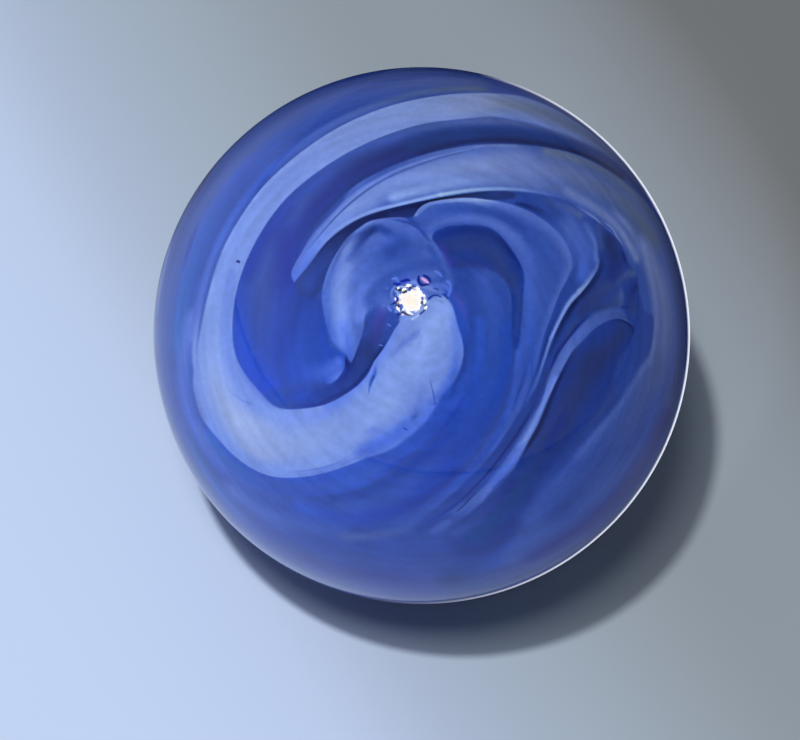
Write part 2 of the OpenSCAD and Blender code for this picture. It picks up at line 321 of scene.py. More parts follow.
# Glass that lies under all the fields: what shows between them, and the haze towards the rim, which is
# partly a painted reflection of the pale floor
UNDER_GLASS = (EYE, None, None, [
    ("field bright", "cobalt 10", "ultra 11", [(-41, 10, 5), (-40.5, 2, 6), (-38, -6, 7), (-32, -12, 6),
        (-25, -14, 5)]),
    ("field deep", "cobalt 7", "cobalt 6", [(-30, 22, 5), (-28, 12, 7), (-26, 2), (-25, -6, 5)]),
    ("field upper", "cobalt 8", "cobalt 7", [(-39, 14, 4), (-35, 22), (-30, 28, 3.5)]),
    ("strip bright", "cobalt 8", "slate 13", [(-33, 26, 4), (-27, 32.5), (-20, 38), (-10, 44, 3.6),
        (0, 48, 3.2), (8, 50, 2.8), (16, 51.5, 2.6)]),
    ("strip right", "slate 13", "slate 9", [(16, 51.5, 2.6), (26, 52), (40, 50.5), (54, 47)]),
    ("band navy a", "cobalt 7", "teal 4", [(-28, 19, 4), (-22, 29, 4.6), (-14, 36.5, 5), (-4, 41.5, 4.6),
        (6, 45, 4)]),
    ("band navy b", "teal 6", "slate 8", [(-2, 43, 4), (10, 46.5), (22, 48, 4.4), (36, 48), (50, 46.5),
        (66, 40, 4)]),
    ("band edge a", "teal 6", "blue 5", [(-26.6, 19, 0.9, 0), (-18.6, 29.6, 1.1), (-10, 36.1, 1.2),
        (0, 40.6, 1.3)]),
    ("band edge b", "teal 4", "slate 4", [(0, 40.6, 1.3), (10, 44, 1.6), (20, 45.6, 1.8), (32, 46.2),
        (44, 45.4), (54, 42.8)]),
    ("outer shade a", "blue 15", "cobalt 12", [(-56, 0, 3), (-53.5, 8), (-51, 16, 2.8), (-47, 25),
        (-42, 33), (-36, 40)]),
    ("outer shade b", "cobalt 13", "grey 12", [(-36, 40, 2.8), (-28, 46.5), (-18, 53.5), (-8, 58.5, 3),
        (4, 63), (16, 66)]),
    ("outer mid a", "teal 12", "cobalt 11", [(-62, -2, 6), (-60, 10), (-57, 20), (-52, 31), (-45, 41)]),
    ("outer mid b", "cobalt 10", "slate 12", [(-45, 41, 6), (-36, 49), (-25, 56.5), (-12, 63), (2, 68),
        (16, 71)]),
    ("outer rim a", "blue 10", "blue 9", [(-76, -4, 8, 0), (-73, 10), (-69, 24), (-62, 37),
        (-52, 50, 8, 0)]),
    ("outer rim b", "blue 9", "slate 10", [(-52, 50, 8, 0), (-40, 61), (-25, 69), (-8, 75), (8, 78),
        (22, 79, 8, 0)]),
    ("outer rim c", "slate 10", [(22, 79, 8, 0), (38, 72), (52, 62), (62, 50, 7, 0)]),
    ("left ground", "blue 15", "cobalt 13", [(-57, 4, 4), (-60, -8, 6), (-60, -18), (-56, -27, 5),
        (-50, -33, 4)]),
    ("lower edge field", "blue 14", "blue 10", [(-56, -24, 4), (-50, -30, 5), (-42, -35.5), (-32, -37.5),
        (-20, -35)]),
    ("under field", "blue 14", "blue 10", [(-48, -40, 6), (-36, -45), (-22, -46), (-10, -44)]),
    ("under field b", "blue 9", "cobalt 14", [(-14, -46, 6), (-4, -44), (6, -43), (12, -46, 5)]),
    ("under deep", "cobalt 12", "cobalt 6", [(-28, -40, 4), (-18, -41, 4.5), (-8, -38.5), (0, -34, 4),
        (6, -28, 3.5)]),
    # Haze towards the rim: partly the glass's own tone, partly a painted reflection of the pale floor
    ("haze mid a", "teal 11", "blue 12", [(-66, -22, 7, 0), (-60, -34), (-51, -46), (-40, -54, 7, 0)]),
    ("haze mid b", "slate 11", "cobalt 6", [(-40, -54, 7, 0), (-28, -60), (-14, -62), (2, -63, 7, 0)]),
    ("haze mid c", "teal 8", "blue 10", [(2, -63, 7, 0), (14, -66), (26, -68, 6, 0)]),
    ("haze outer a", "slate 11", [(-78, -8, 8, 0), (-73, -28, 7), (-65, -41), (-54, -54, 7, 0)]),
    ("haze outer b", "slate 11", "slate 10", [(-54, -54, 7, 0), (-42, -64), (-26, -71), (-8, -75, 7, 0)]),
    ("haze outer c", "slate 11", [(-8, -75, 7, 0), (10, -77), (26, -74, 7, 0)]),
    ("next arc a", "blue 12", "cobalt 10", [(13, 12, 4), (14.5, 4, 4.5), (14.5, -5), (12.5, -14),
        (8, -23, 5)]),
    ("next arc b", "cobalt 10", "blue 11", [(8, -23, 5), (1, -30), (-8, -35.5, 4.5), (-18, -38, 4)]),
    ("arc dark a", "cobalt 12", "cobalt 9", [(11.6, 3, 1.6), (11.8, -3), (11, -9, 1.8), (9, -14.6, 2),
        (6, -19.6), (2, -24)]),
    ("arc dark b", "cobalt 9", "blue 9", [(2, -24, 2), (-3, -28), (-8, -31.6), (-14, -34.8), (-20, -36.4)]),
    ("arc light", "cobalt 11", "cobalt 9", [(17.4, 2, 2), (17.2, -6), (15, -14, 2.2), (11.4, -21, 2.4),
        (6, -27.4, 2.6), (0, -32.6)]),
    ("tail blue", "blue 10", [(9, -40, 4), (4, -45), (-4, -49), (-12, -52)]),
    ("tail light", "blue 11", "slate 12", [(5, -39, 2), (-1, -42.4, 2.2), (-8, -45.4, 2.4), (-18, -47.4)]),
    ("tail dark", "cobalt 13", "blue 10", [(7, -38.4, 1.1), (2, -42.6, 1.4), (-5, -46.4, 1.6)]),
    ("bottom right", "cobalt 12", "teal 7", [(22, -52, 8), (16, -58), (8, -62, 7)]),
    ("left fringe", "blue 17", "blue 21", [(-52.4, 8, 1.2, 0), (-54.4, 0, 1.8), (-54.8, -7, 1.7),
        (-52.6, -14, 1.2, 0)]),
    ("left gap", "cobalt 7", [(-57.6, 31, 1.4, 0), (-60.3, 24, 1.8), (-61.6, 16, 1.4, 0)]),
])

# Bright cobalt glass between the turn of the great fold and the crest
COBALT_LOBE = (EYE, "cobalt 10", [
    (-19.2, -0.5, 2.5), (-17.4, -2.6, 1.2), (-15.9, -3.6, 0.4), (-15.7, -7), (-16.7, -9), (-18.5, -10, 0.5),
    (-21.6, -10.3, 1.2), (-26, -10.5, 3), (-30, -9, 5), (-33, -4, 7), (-33, 3, 8), (-29, 9), (-24, 11, 7),
    (-19.8, 5, 3),
], [
    ("left", "cobalt 9", "blue 8", [(-30, -4, 4), (-27, 4, 5), (-24, 9, 4)]),
    ("mid", "cobalt 10", "blue 9", [(-24, -3, 4), (-22, 3), (-21, 8, 3)]),
    ("low bright", "cobalt 11", "cobalt 15", [(-24, -7.6, 2.6), (-20, -7.6, 2.8), (-17, -5.4, 2)]),
    ("right edge", "cobalt 7", "cobalt 13", [(-20.2, 3, 1.2, 0), (-19.4, -0.6, 1.3), (-17.2, -3, 1.2, 0)]),
    ("lit tip", "cobalt 16", [(-20, -10.8, 1.2, 0), (-17.2, -8.4, 1.8), (-16, -5.4, 1.3, 0)]),
])

# Blue glass beside the tongue and along the under side of the great fold
MID_ZONE = (EYE, "cobalt 11", [
    (6, 9, 2.5), (9.4, 5, 1.6), (10.5, 0, 1.2), (9.5, -10), (5, -18.5, 1.1), (-3, -25.5, 0.9),
    (-10, -31.3, 0.8), (-18, -34.7), (-31, -36.6, 1.5), (-45, -34, 3), (-54, -24), (-45, -20), (-20, -16),
    (-5, -8), (2, 2), (3, 8, 2.5),
], [
    ("right", "blue 9", "cobalt 12", [(9.6, 4, 1.6), (9.8, -4), (8.8, -10.6, 1.8), (6.4, -16, 2.2)]),
    ("low a", "cobalt 10", "cobalt 12", [(6.4, -16, 2.2), (2.6, -20.6, 2.6), (-3, -24.4),
        (-9, -28.6, 2.8)]),
    ("low b", "cobalt 12", "blue 11", [(-9, -28.6, 2.8), (-15, -31.6, 2.6), (-22, -33.6, 2.4),
        (-31, -34.6)]),
    ("far left", "blue 11", "teal 12", [(-31, -34.6, 2.4), (-40, -33.8, 2.6), (-48, -30, 3), (-53, -25)]),
    ("edge light", "ultra 7", "cobalt 11", [(9.4, -11, 0.8, 0), (7, -16, 0.9), (3.6, -20.8, 1),
        (-0.6, -24.2), (-6, -27.8), (-12, -31.8, 1, 0)]),
    # Painted shade along the right edge of the tongue
    ("crescent dark", "blue 9", [(8.6, -1, 0.5, 0.4), (8.8, -4, 0.9), (8.3, -6.9, 1.1), (7, -9.5, 1),
        (6, -12.4, 0.7, 0.6)]),
    ("shoulder", "violet 12", "cobalt 11", [(7.4, 8, 2), (8.8, 4.4, 1.4), (9.4, 1, 1)]),
])

# The great pale fold, which turns round the eye and ends in a tongue beside it
GREAT_FOLD = (EYE, "blue 18", [
    (72, 42, 3), (45, 61, 2.5), (30, 66, 2), (20, 64.4, 1.4), (10, 62, 0.8), (0, 59, 0.6), (-10, 55.2, 0.5),
    (-20, 49.8, 0.45), (-30, 42.3), (-37.7, 34.8), (-42.6, 27.8, 0.6), (-47, 20, 0.9), (-50.3, 10, 1),
    (-53, 0), (-56, -10, 1.2), (-56, -15), (-54.5, -20, 1.1), (-49.7, -24.7, 0.9), (-43.7, -29.4, 0.6),
    (-36, -32.3, 0.45), (-28, -31.8, 0.4), (-20, -29.5), (-12, -26, 0.5), (-7, -24, 0.8), (-3.3, -21.4, 1),
    (1, -17.4, 0.9), (4.4, -12, 0.7), (6.9, -8.6), (8.3, -4.8, 0.5), (8.3, -1.5, 0.4), (7.2, 2.4, 0.45),
    (6.3, 5.7, 0.6), (4.8, 7.8, 0.8), (2, 8.6, 1.2), (-1.4, 8.8, 1), (-4, 5.9, 0.5), (-5.8, 0.8, 0.35),
    (-7.6, -2.5), (-9.6, -5.2, 0.4), (-11.2, -8.2), (-14.4, -11.2), (-20.6, -14.5), (-30, -15.7, 0.45),
    (-34.8, -12.8, 0.5), (-40.8, -5.9), (-42.4, 2), (-41, 12), (-36.8, 21.9), (-30, 31.4),
    (-19.7, 39.6, 0.45), (-10, 45.1), (0, 49.2, 0.5), (10, 51.5, 0.7), (20, 53.4, 1.4), (40, 51.5, 2.5),
    (50, 50), (60, 45.5), (70, 36, 3),
], [
    ("tail top", "slate 10", "grey 18", [(66, 44, 6), (45, 56, 8), (25, 60, 7), (8, 57, 6)]),
    ("top", "slate 19", "blue 18", [(14, 58, 7), (-4, 53), (-18, 47, 6), (-30, 37)]),
    ("left", "blue 18", "blue 19", [(-30, 37, 6), (-40, 26), (-45, 14), (-47, 2, 7)]),
    ("turn", "blue 19", "slate 22", [(-47, 4, 7), (-48.5, -8, 8), (-44, -18), (-36, -24)]),
    ("left outer", "cobalt 21", "slate 15", [(-50, 12, 3), (-51.5, 6, 3.5), (-55, -4, 4.5), (-57, -12),
        (-55, -20, 3.5)]),
    ("left inner", "blue 17", "blue 18", [(-43.6, 14, 2.4), (-44.4, 6, 2.6), (-44, -2, 3), (-41.4, -9),
        (-36, -15)]),
    ("under", "slate 20", "blue 19", [(-38, -24, 8), (-29, -24), (-20, -21), (-12, -16, 7)]),
    ("under low", "blue 18", "blue 19", [(-48, -25, 2.6), (-41, -29), (-34, -30.6, 2.4), (-27, -29.6, 2.2),
        (-21, -27)]),
    ("under inner", "blue 19", "cobalt 18", [(-33, -17, 2), (-27, -17.4), (-21, -16.6), (-15, -13.4)]),
    ("tongue", "blue 19", "cobalt 21", [(-12, -15, 6), (-5, -9), (0, -3, 5.5), (3, 3, 5), (3, 7, 4)]),
    ("tongue root", "blue 19", "blue 20", [(-16, -22, 3.5), (-11, -18), (-6, -13.4, 3)]),
    ("tongue right", "cobalt 18", "cobalt 13", [(7, 3, 2), (7.3, -2), (7, -6), (5.6, -10, 2.4),
        (3, -14.4, 3)]),
    ("tongue low", "cobalt 16", "cobalt 14", [(3, -14.4, 3), (-0.6, -17.8, 3.6), (-5.6, -21),
        (-12, -24.6, 3)]),
    ("tongue blotch", "blue 17", "cobalt 14", [(0.6, -11, 1.4), (-0.4, -14, 1.8), (-2, -17),
        (-4.6, -19.6, 1.6)]),
    ("blotch dark", "blue 12", [(-0.5, -15.3, 0.8, 0), (-1.5, -16.7, 1), (-2.2, -17.9, 0.7, 0)]),
    ("tongue left", "cobalt 18", "cobalt 17", [(-5, 1.6, 1.4), (-7.6, -3, 1.6), (-10.6, -7.4, 1.8),
        (-14.6, -11.6), (-19.6, -14.8, 1.6)]),
    ("tongue streak", "blue 16", [(-6.4, -4.6, 0.5, 0.4), (-4.2, -2, 0.9), (-1.6, 0, 1), (0.4, 2, 0.8, 0)]),
    ("tongue tip", "blue 19", "cobalt 20", [(0, 4, 1.6), (3, 5.4), (5.6, 5.4, 1.2)]),
    # Painted shade along the right edge of the tongue
    ("smudge", "cobalt 14", [(7, -4.6, 0.7, 0), (6.6, -7.4, 1.1), (5.6, -9.6, 1, 0)]),
    ("inner rim", "blue 16", [(-42.9, 1.9, 0.9, 0), (-41.6, -3, 1.1), (-38.6, -9.2, 1.3), (-34.5, -13.4),
        (-30, -15.8, 1, 0)]),
    ("rim upper in", "cobalt 19", "slate 18", [(-40, 17, 0.9, 0), (-29.3, 33, 1), (-20, 40.2), (-10, 45.6),
        (0, 49.7), (10, 52.2), (22, 54.6, 1, 0)]),
    ("rim upper out", "cobalt 20", "slate 19", [(-46.6, 20, 1), (-42.6, 28), (-37.6, 34.6), (-29.6, 41.8),
        (-19.6, 49.4, 1.2), (-9.6, 54.6), (0, 58.6), (10, 61.3, 1.4), (20, 63.6, 1.6)]),
    ("low strip", "blue 16", [(-33, -31.9, 0.6, 0), (-22, -29.8, 0.8), (-12, -25)]),
    ("low thread", "blue 15", [(-30, -30.7, 0.3, 0.3), (-22, -28.9, 0.45), (-16, -26.2, 0.4, 0.6),
        (-13.3, -23.9, 0.3, 0.2)]),
    ("second thread", "blue 19", [(-21, -26.4, 0.3, 0.3), (-17.6, -24.6, 0.5), (-14, -22),
        (-11, -19.6, 0.4, 0.3)]),
    ("third thread", "cobalt 16", [(-13.1, -23.4, 0.3, 0.3), (-9, -21.4, 0.5), (-5.6, -19.6, 0.4, 0.4)]),
    ("crease", "blue 20", "blue 15", [(-44.6, -11.4, 0.3, 0.3), (-43, -13, 0.45), (-40, -14.6),
        (-37.6, -15.3, 0.4, 0.6)]),
    ("dent", "cobalt 12", [(-9.3, -6.6, 0.5, 0.6), (-9.5, -7.8, 0.7), (-10.2, -9.1, 0.6),
        (-10.8, -11.6, 0.3, 0.5)]),
    ("dent light", "blue 9", [(-9.7, -8.4, 0.4), (-10.7, -10.7, 0.4, 0)]),
    ("mark", "blue 3", [(-4, -18.8, 0.35, 0), (-3.1, -19.3, 0.3, 0.7)]),
    ("scratch", "blue 11", [(1.7, -8.8, 0.16, 0.5), (2.6, -12.8, 0.22), (2.9, -16.4, 0.15, 0.2)]),
    ("scratch tick", "blue 11", [(1.9, -14.1, 0.15, 0.4), (3, -13.8, 0.2), (3.8, -14, 0.15, 0.4)]),
    ("tongue dip", "blue 16", [(-12.4, -20.6, 1.1, 0), (-9.8, -19.6, 1.5), (-7.4, -18.4, 1.1, 0)]),
])

# The dark trunk between the tongue and the bright lobe
TRUNK = (EYE, "blue 10", [
    (-9, 7, 2.5), (-6.5, 6.3, 2), (-4.3, 3.5, 0.4), (-5.7, 0.8, 0.35), (-7.6, -2.5), (-9.6, -5.2),
    (-11.2, -8.2), (-14.4, -11.2), (-20.6, -14.5, 0.4), (-28.5, -15.7, 0.5), (-32, -15, 1.5),
    (-33.5, -13, 3), (-31, -11.4), (-22, -9.9, 1.2), (-18.5, -9.8, 0.5), (-16, -7.2, 0.35), (-15.6, -5),
    (-15.4, -2.8, 0.3), (-15.4, -2.8), (-14.3, -5.4, 0.35), (-12.7, -1.9), (-11.9, 0.8), (-11.5, 3.5, 0.5),
], [
    ("upper", "violet 11", "slate 7", [(-8, 5, 2), (-9, 1, 3), (-11, -4)]),
    ("mid", "slate 8", "cobalt 8", [(-11, -4, 3), (-15, -9), (-20, -12), (-26, -13)]),
    ("left side", "slate 6", "cobalt 7", [(-11.6, 0, 1, 0), (-13.6, -4, 1.2), (-15.6, -8),
        (-19.4, -10.9, 1.1, 0)]),
    ("spike", "blue 4", [(-15.5, -3, 0.5, 0), (-15.3, -5.5, 0.7), (-15.2, -7.2, 0.9, 0)]),
    ("right ink", "slate 5", "cobalt 7", [(-6.8, -0.3, 0.6, 0), (-8.7, -3.6, 0.8), (-11, -7),
        (-14.2, -10.6), (-18.1, -12.7), (-22, -14.6), (-28, -15.2, 0.6, 0)]),
    ("tail", "cobalt 10", [(-24, -12.4, 1.8), (-28, -13.2, 2), (-33, -13.4)]),
])

# The second fold, over the eye and down the right side
SECOND_FOLD = (EYE, "blue 12", [
    (-26.9, 11.2, 0.4), (-26.9, 11.2), (-27.7, 13.5), (-25.5, 17.8), (-22.7, 22.3), (-17.3, 28.3, 0.45),
    (-15, 31.9, 0.5), (-10, 35.2), (0, 39.8), (10, 42.8, 0.6), (20, 44.4, 0.8), (30, 45.2, 0.7),
    (40, 45, 0.6), (50, 42.4, 0.7), (64, 37, 1.5), (72, 30, 2), (77.7, 18), (78, 5), (76, -10), (72, -25),
    (65, -38), (55, -50, 3), (42, -58, 4), (28, -60), (20, -56), (22, -47, 3), (29, -33, 2.5), (37, -24, 2),
    (47, -14), (51.7, -8.2), (55.5, -4, 1.2), (57, 2, 0.8), (56.5, 5, 0.6), (53.5, 6), (51.8, 11, 0.5),
    (51.3, 14.6, 0.6), (49, 17.2), (47, 21.8, 0.3), (42.7, 25.3, 0.35), (37.5, 28, 0.7), (34, 30.2, 0.8),
    (30, 31.1, 0.6), (20, 31.5, 0.45), (10, 30.4, 0.4), (0, 28.3, 0.35), (-10, 25.7), (-15, 23.5, 0.4),
    (-19.8, 19.8, 0.5), (-23.7, 14.8),
], [
    ("tip", "cobalt 15", "blue 20", [(-26.5, 12.5, 3), (-23, 19, 4), (-18, 25, 4.5), (-12, 29.5, 5)]),
    ("mid", "blue 18", "slate 18", [(-12, 30, 5), (-2, 34, 6), (10, 37, 7), (22, 38.5, 8)]),
    ("right", "slate 16", "grey 12", [(22, 38.5, 8), (36, 38), (50, 34), (60, 26)]),
    ("right limb top", "grey 14", "slate 11", [(30, 44, 3), (44, 43, 4), (56, 39, 5), (68, 30, 6),
        (76, 14)]),
    ("low mid", "cobalt 21", "slate 13", [(-6, 29.4, 2), (4, 32, 2.4), (14, 34, 2.6), (24, 34.4),
        (34, 33, 2.4)]),
    ("low right", "slate 16", "slate 18", [(34, 33, 2.6), (42, 29.4), (48, 25), (52, 19, 2.4)]),
    ("flank a", "slate 17", "slate 14", [(56, 22, 6), (61, 12, 7), (62, 0), (58, -10)]),
    ("flank limb", "slate 11", "slate 10", [(70, 26, 8), (74, 10), (73, -8), (68, -24)]),
    ("flank b", "slate 13", "blue 10", [(58, -8, 8), (50, -20), (42, -31), (34, -42)]),
    ("flank c", "cobalt 6", "cobalt 7", [(66, -24, 7), (57, -38, 8), (44, -50), (30, -58, 7)]),
    ("slate inner", "slate 17", "blue 14", [(56, 2, 3.5), (53.5, -4, 4), (49, -10), (43, -17), (36, -26)]),
    ("edge light", "slate 17", "slate 15", [(56, 18, 2), (57.6, 11, 2.2), (58, 3, 2.4), (55.4, -6, 2.6)]),
    ("violet band a", "blue 15", "blue 11", [(-26.6, 14.5, 1.2), (-24, 20.6, 1.3), (-19.5, 26.6, 1.5),
        (-15, 31, 1.3), (-8, 35.7, 1.2)]),
    ("violet band b", "blue 11", "slate 17", [(-8, 35.7, 1.2), (0, 39.2, 1.1), (10, 42.6, 1),
        (22, 44.4, 0.9)]),
    ("ridge light", "blue 16", "blue 17", [(-23.6, 20.2, 0.3, 0.4), (-15.2, 29.6, 0.5), (-9.5, 33.7),
        (-2, 37.5), (14, 43.1, 0.4, 0.6)]),
    ("dark line", "blue 11", "slate 12", [(-24, 18.4, 0.35, 0.4), (-16.6, 27, 0.5), (-7.9, 33.8), (4, 39.2),
        (10, 41.2, 0.45, 0.6)]),
    ("lower rim a", "cobalt 19", "cobalt 22", [(-23.7, 15.8, 0.6, 0), (-18.5, 21.8, 0.8), (-11.9, 25.6),
        (-3.9, 27.8), (4.1, 29.9)]),
    ("lower rim b", "teal 24", "blue 15", [(4.1, 29.9, 0.8), (12.1, 31.4), (22, 32.1), (32, 31.4, 0.7, 0)]),
    ("dark hem", "slate 17", [(35.6, 29.4, 0.4, 0.4), (40, 27.4, 0.7), (42.4, 25.1, 0.6),
        (44.9, 24.2, 0.4, 0)]),
    ("pale hem", "slate 18", [(42.6, 26.6, 0.4, 0.4), (45, 25.4, 0.5), (46.4, 23.2, 0.6),
        (47.7, 21.7, 0.5, 0.6)]),
    ("specks", "blue 18", "slate 10", [(17, 43.6, 0.5, 0), (22, 44.1), (27, 44.4), (31, 44.6, 0.4, 0)]),
    ("inner shoulder", "slate 17", "slate 18", [(45, 31, 1.6, 0), (48.4, 28.8, 2.2), (51.2, 26.2),
        (54, 20.6, 1.8, 0)]),
])

# Dark field at the lower right
NAVY_FIELD = (EYE, "blue 8", [
    (50.2, 2.2, 0.35), (50.2, 2.2), (48, -2.1, 0.5), (44.7, -6.6, 0.8), (43.7, -8.8, 1.2), (44.4, -12, 2.2),
    (45, -15, 3), (36.5, -23.1), (29.6, -33), (23, -45, 5), (18, -53, 6), (11, -54), (6, -49, 5),
    (7, -43, 4), (11, -38.4, 1.5), (13.9, -36.3, 0.5), (20.4, -28.2), (25.6, -16.3), (28.9, -9.1, 0.4),
    (31.9, -3.8), (36, 0), (40.3, 2.8), (44.8, 3.8), (48.5, 2.7),
], [
    ("head", "slate 8", "slate 7", [(46, 1, 3.5), (42, -3, 4.5), (37, -6, 5)]),
    ("mid", "slate 7", "slate 8", [(37, -7, 6), (33, -14), (29, -22)]),
    ("low", "slate 8", "teal 8", [(28, -23, 5.5), (23, -31), (18, -39, 5), (12, -46)]),
    ("right side", "slate 10", "blue 10", [(46, -6, 2.5), (44.6, -12, 3), (39, -19), (33, -26.5),
        (27, -35)]),
    ("low left", "blue 7", "blue 11", [(19.6, -32, 2.4), (17, -36.4, 2.6), (13, -41, 2.8), (8, -45, 3)]),
    ("low right", "blue 10", "blue 12", [(31, -30, 3), (28, -36), (25, -42, 4)]),
    ("violet", "blue 7", [(30.6, -18, 2.4), (27.6, -24, 2.6)]),
    ("head edge", "teal 4", "slate 6", [(40, 3.4, 0.7, 0), (44.6, 3.9, 0.8), (48.6, 2.2), (49.2, 0, 0.7),
        (47.6, -2.6, 0.7, 0)]),
    ("left ink a", "slate 12", "teal 4", [(37.6, 1.4, 0.5, 0), (34, -1.6, 0.7), (31.6, -5.3, 0.8),
        (29.6, -8.9)]),
    ("left ink b", "teal 4", "teal 3", [(29.6, -8.9, 0.8), (27.9, -12.6, 0.9), (26.3, -16.6, 1.1),
        (24.9, -20), (22.9, -23.6, 0.8), (21.1, -27, 0.5, 0)]),
])

# Dense dark pocket between the lobes and the ribbon
POCKET = (EYE, "blue 9", [
    (39.4, 27, 0.6), (44.7, 23.8, 0.4), (47, 22), (49, 17.2, 0.5), (51.3, 14.5), (51.9, 8.1), (50.4, 2),
    (50.4, 2), (45, 3.8), (38.1, 1.8), (34.4, -1.4), (28, -9), (23.4, -16.7), (17.4, -28.1, 0.7),
    (13, -34.1, 0.8), (8.6, -39.2, 1.2), (3, -44, 2.5), (-2, -45, 3), (0, -41, 2.5), (4, -37, 1.2),
    (8.5, -31.4, 0.8), (13.6, -26.6, 0.6), (20.6, -15.3, 0.5), (25, -7.6), (29, 2), (32.7, 7.7), (38, 13.1),
    (39.8, 15.7), (39.8, 23, 0.8),
], [
    ("upper dark", "slate 6", "blue 7", [(43.5, 22, 3.6), (44.5, 17, 4.5), (42, 12, 3)]),
    ("right dark", "blue 5", [(46.6, 20.4, 1.2, 0), (48, 18.4, 1.3), (47.6, 16.4, 1, 0)]),
    ("mid", "slate 9", "slate 8", [(42, 11, 3), (38, 8.6), (34.4, 5, 2.4)]),
    ("head blue", "slate 10", "slate 8", [(45, 8.6, 2.6), (43, 6.6, 2.4), (39, 5.8, 2)]),
    ("web a", "slate 9", "slate 13", [(44.2, 11.4, 0.9), (46, 12.8, 1.4), (48.4, 14.4, 1.6),
        (51, 14.9, 1.5)]),
    ("web b", "slate 13", "slate 11", [(45.6, 11.6, 1.1, 0), (45.9, 9.2), (45.4, 7)]),
    ("lobe 2", "blue 6", "slate 9", [(51, 11.6, 1.3), (49, 9.8, 2), (48.6, 7.6, 2.2), (50, 5.4, 1.8)]),
    ("lobe crease", "blue 7", [(45.6, 6.5, 0.4), (47.4, 6.6, 0.5), (49.4, 6.6, 0.4, 0)]),
    ("low right", "slate 10", [(46.4, 5, 1, 0), (49.2, 3.6, 0.9, 0)]),
    ("right web", "slate 9", "grey 15", [(51.2, 13.6, 0.5, 0), (52, 10.4, 0.6), (52, 6.6),
        (51.2, 3.4, 0.5, 0)]),
    ("ink at rim", "teal 6", "teal 3", [(41, 18.4, 1, 0.4), (40.4, 15.6, 1.3), (38.6, 12.6, 1.4), (36, 10),
        (32.8, 7.4, 1.3)]),
    ("ink at rim b", "teal 3", "slate 7", [(33, 7.2, 1.3), (31, 4.5), (28.8, 0.9, 1.2), (27.3, -2.5, 1.1),
        (26.2, -5.9, 1, 0)]),
    ("trough", "slate 9", [(35, 4.6, 1.2, 0), (32.4, 2, 1.3), (30.4, -1.5, 1.2), (28.2, -4.9, 1, 0)]),
    ("ribbon side ink", "blue 6", [(36.3, 4.3, 0.4, 0.4), (33.7, 2.1, 0.6), (31.3, -0.5), (28.8, -3.5),
        (27.3, -6.8, 0.5)]),
    ("teal", "slate 8", "blue 8", [(26.6, -7, 1), (25.4, -10.4, 1.1), (24, -13, 1), (22.4, -15.4, 0.8, 0)]),
    ("violet band a", "blue 10", "blue 8", [(23.4, -12.6, 0.9, 0), (21.4, -16.6, 1.1), (19.3, -20.5, 1.2),
        (17.1, -23.8, 1.1)]),
    ("violet band b", "blue 9", "cobalt 8", [(17.1, -23.8, 1.1), (14.9, -26.5, 1), (12.7, -28.9),
        (10.4, -31.4, 0.9), (7.6, -34.2), (4, -37.4, 0.9, 0)]),
    ("low slate", "blue 12", "cobalt 9", [(19.4, -24.8, 0.6, 0), (16.4, -28.8, 0.9), (13.8, -31.6, 1),
        (11.6, -33.8, 0.8, 0)]),
    ("ink line a", "teal 6", "blue 5", [(24.3, -13.6, 0.35, 0.4), (21.4, -18.8, 0.6), (17.7, -24.6, 0.45)]),
    ("ink line b", "blue 5", "cobalt 6", [(17.7, -24.6, 0.45), (14, -29.7, 0.5), (10.7, -33.6)]),
    ("ink line c", "cobalt 6", "cobalt 8", [(10.7, -33.6, 0.5), (7.6, -36.9), (3.7, -40.2, 0.4),
        (0.8, -42, 0.3, 0.3)]),
    ("low light", "blue 13", "blue 11", [(9.5, -36.1, 0.8, 0), (7.4, -38.4, 0.9), (4.6, -40.6, 0.9, 0)]),
    ("left top", "slate 10", [(41, 25.5, 1.4), (41, 20)]),
])

